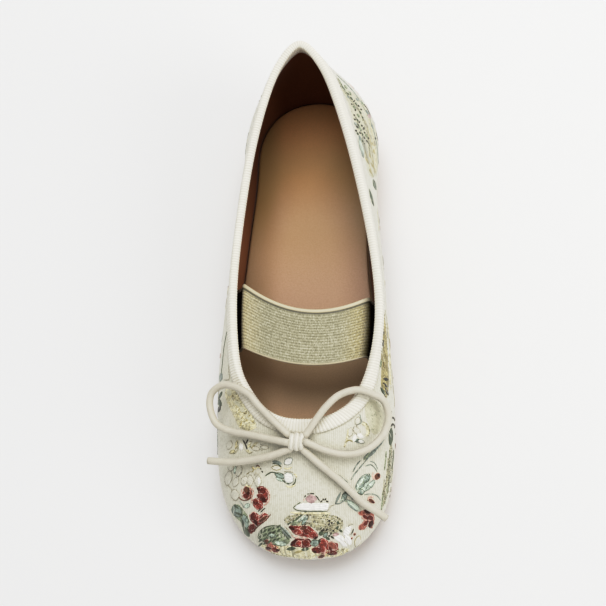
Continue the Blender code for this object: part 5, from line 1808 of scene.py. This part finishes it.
# The photograph's tone curve, which deepens shade and lifts pale cloth: light before and after it
TONES = [
    (0.04, 0.02), (0.15, 0.10), (0.25, 0.20), (0.35, 0.34),
    (0.45, 0.49), (0.58, 0.66), (0.75, 0.80), (0.88, 0.885),
]
ALL_TONES = 3  # the curve that works on red, green and blue together


def make_camera():
    """A camera where the photograph's stood, turned to this one shoe."""
    data = bpy.data.cameras.new("camera")
    data.sensor_width = SENSOR
    data.lens = SENSOR * PHOTO_FOCUS / FRAME_WIDTH
    forward = Vector(pixel_ray(*FRAME_MIDDLE))
    right = forward.cross(Vector(PHOTO_UP)).normalized()
    up = right.cross(forward)
    camera = link_object("camera", data)
    turned = Matrix((right, up, -forward)).transposed().to_4x4()
    camera.matrix_world = Matrix.Translation(Vector((PHOTO_PLACE - CENTRE) * METRES)) @ turned
    bpy.context.scene.camera = camera


def make_light(light):
    """A soft round lamp turned to the shoe."""
    data = bpy.data.lights.new(light.name, "AREA")
    data.shape = "DISK"
    data.size = light.size
    data.energy = light.power
    lamp = link_object(light.name, data)
    lamp.location = light.place
    lamp.rotation_euler = (-Vector(light.place)).to_track_quat("-Z", "Y").to_euler()


def make_stage():
    """A pale floor under soft light from above the heel."""
    material, _, shader = new_material("pale floor", roughness=0.9, specular=0.1)
    shader.inputs["Base Color"].default_value = FLOOR_TONE
    corners = [(FLOOR_HALF * x, FLOOR_HALF * y, -FLOOR_DROP) for x, y in ((-1, -1), (1, -1), (1, 1), (-1, 1))]
    make_piece("floor", corners, [(0, 1, 2, 3)], material)
    world = bpy.data.worlds.new("soft room")
    world.use_nodes = True
    world.node_tree.nodes["Background"].inputs["Color"].default_value = ROOM_TONE
    world.node_tree.nodes["Background"].inputs["Strength"].default_value = ROOM_STRENGTH
    bpy.context.scene.world = world
    for light in LIGHTS:
        make_light(light)
    view = bpy.context.scene.view_settings
    view.view_transform = "Standard"
    view.use_curve_mapping = True
    for dark, shown in TONES:
        view.curve_mapping.curves[ALL_TONES].points.new(dark, shown)
    view.curve_mapping.update()


CORDS = [  # the node, its route, and how its far end is held
    ("bow_loop_lateral", LATERAL_LOOP, "knot"),
    ("bow_loop_medial", MEDIAL_LOOP, "knot"),
    ("bow_tail_lateral", LATERAL_TAIL, "bare"),
    ("bow_tail_medial", MEDIAL_TAIL, "bare"),
]


def declare(piece, node):
    """Says that a piece rides the shoe's one body, in place of a solid."""
    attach(piece, "root")
    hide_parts(node)


def main():
    ribs = ribs_tree()
    # The lateral tones of sock and lining are painted light and shade, and the lining is painted darker than
    # the sock for the shade inside the wall
    tan = leatherette_material("tan sock", SOCK_LIGHT_AND_SHADE_TONES, "C3A987", "B09162")
    tan_painted_with_shade = leatherette_material("lining painted with shade", LINING_SHADE_TONES, "A87252", "8A5A3E")
    cord = woven_material("satin cord")
    # The knot's cord is painted lighter than the loops', as lit from above
    cord_painted_lighter = woven_material("satin cord painted lighter")
    upper = make_upper(brocade_material())
    declare(make_outsole(rubber_material()), "outsole")
    declare(upper, "upper")
    declare(make_lining(tan_painted_with_shade), "upper")
    declare(make_insole(tan), "insole")
    declare(make_binding(woven_material("cream grosgrain"), ribs), "topline_binding")
    declare(make_strap(elastic_material(), ribs), "instep_strap")
    declare(make_knot(cord_painted_lighter), "bow_knot")
    for piece in make_embroidery(upper, flecks_tree()):
        declare(piece, "upper")
    for node, steps, far_end in CORDS:
        piece, route = make_cord("cord_" + node, steps, cord, 2 if far_end == "knot" else 1)
        declare(piece, node)
    make_camera()
    make_stage()


main()
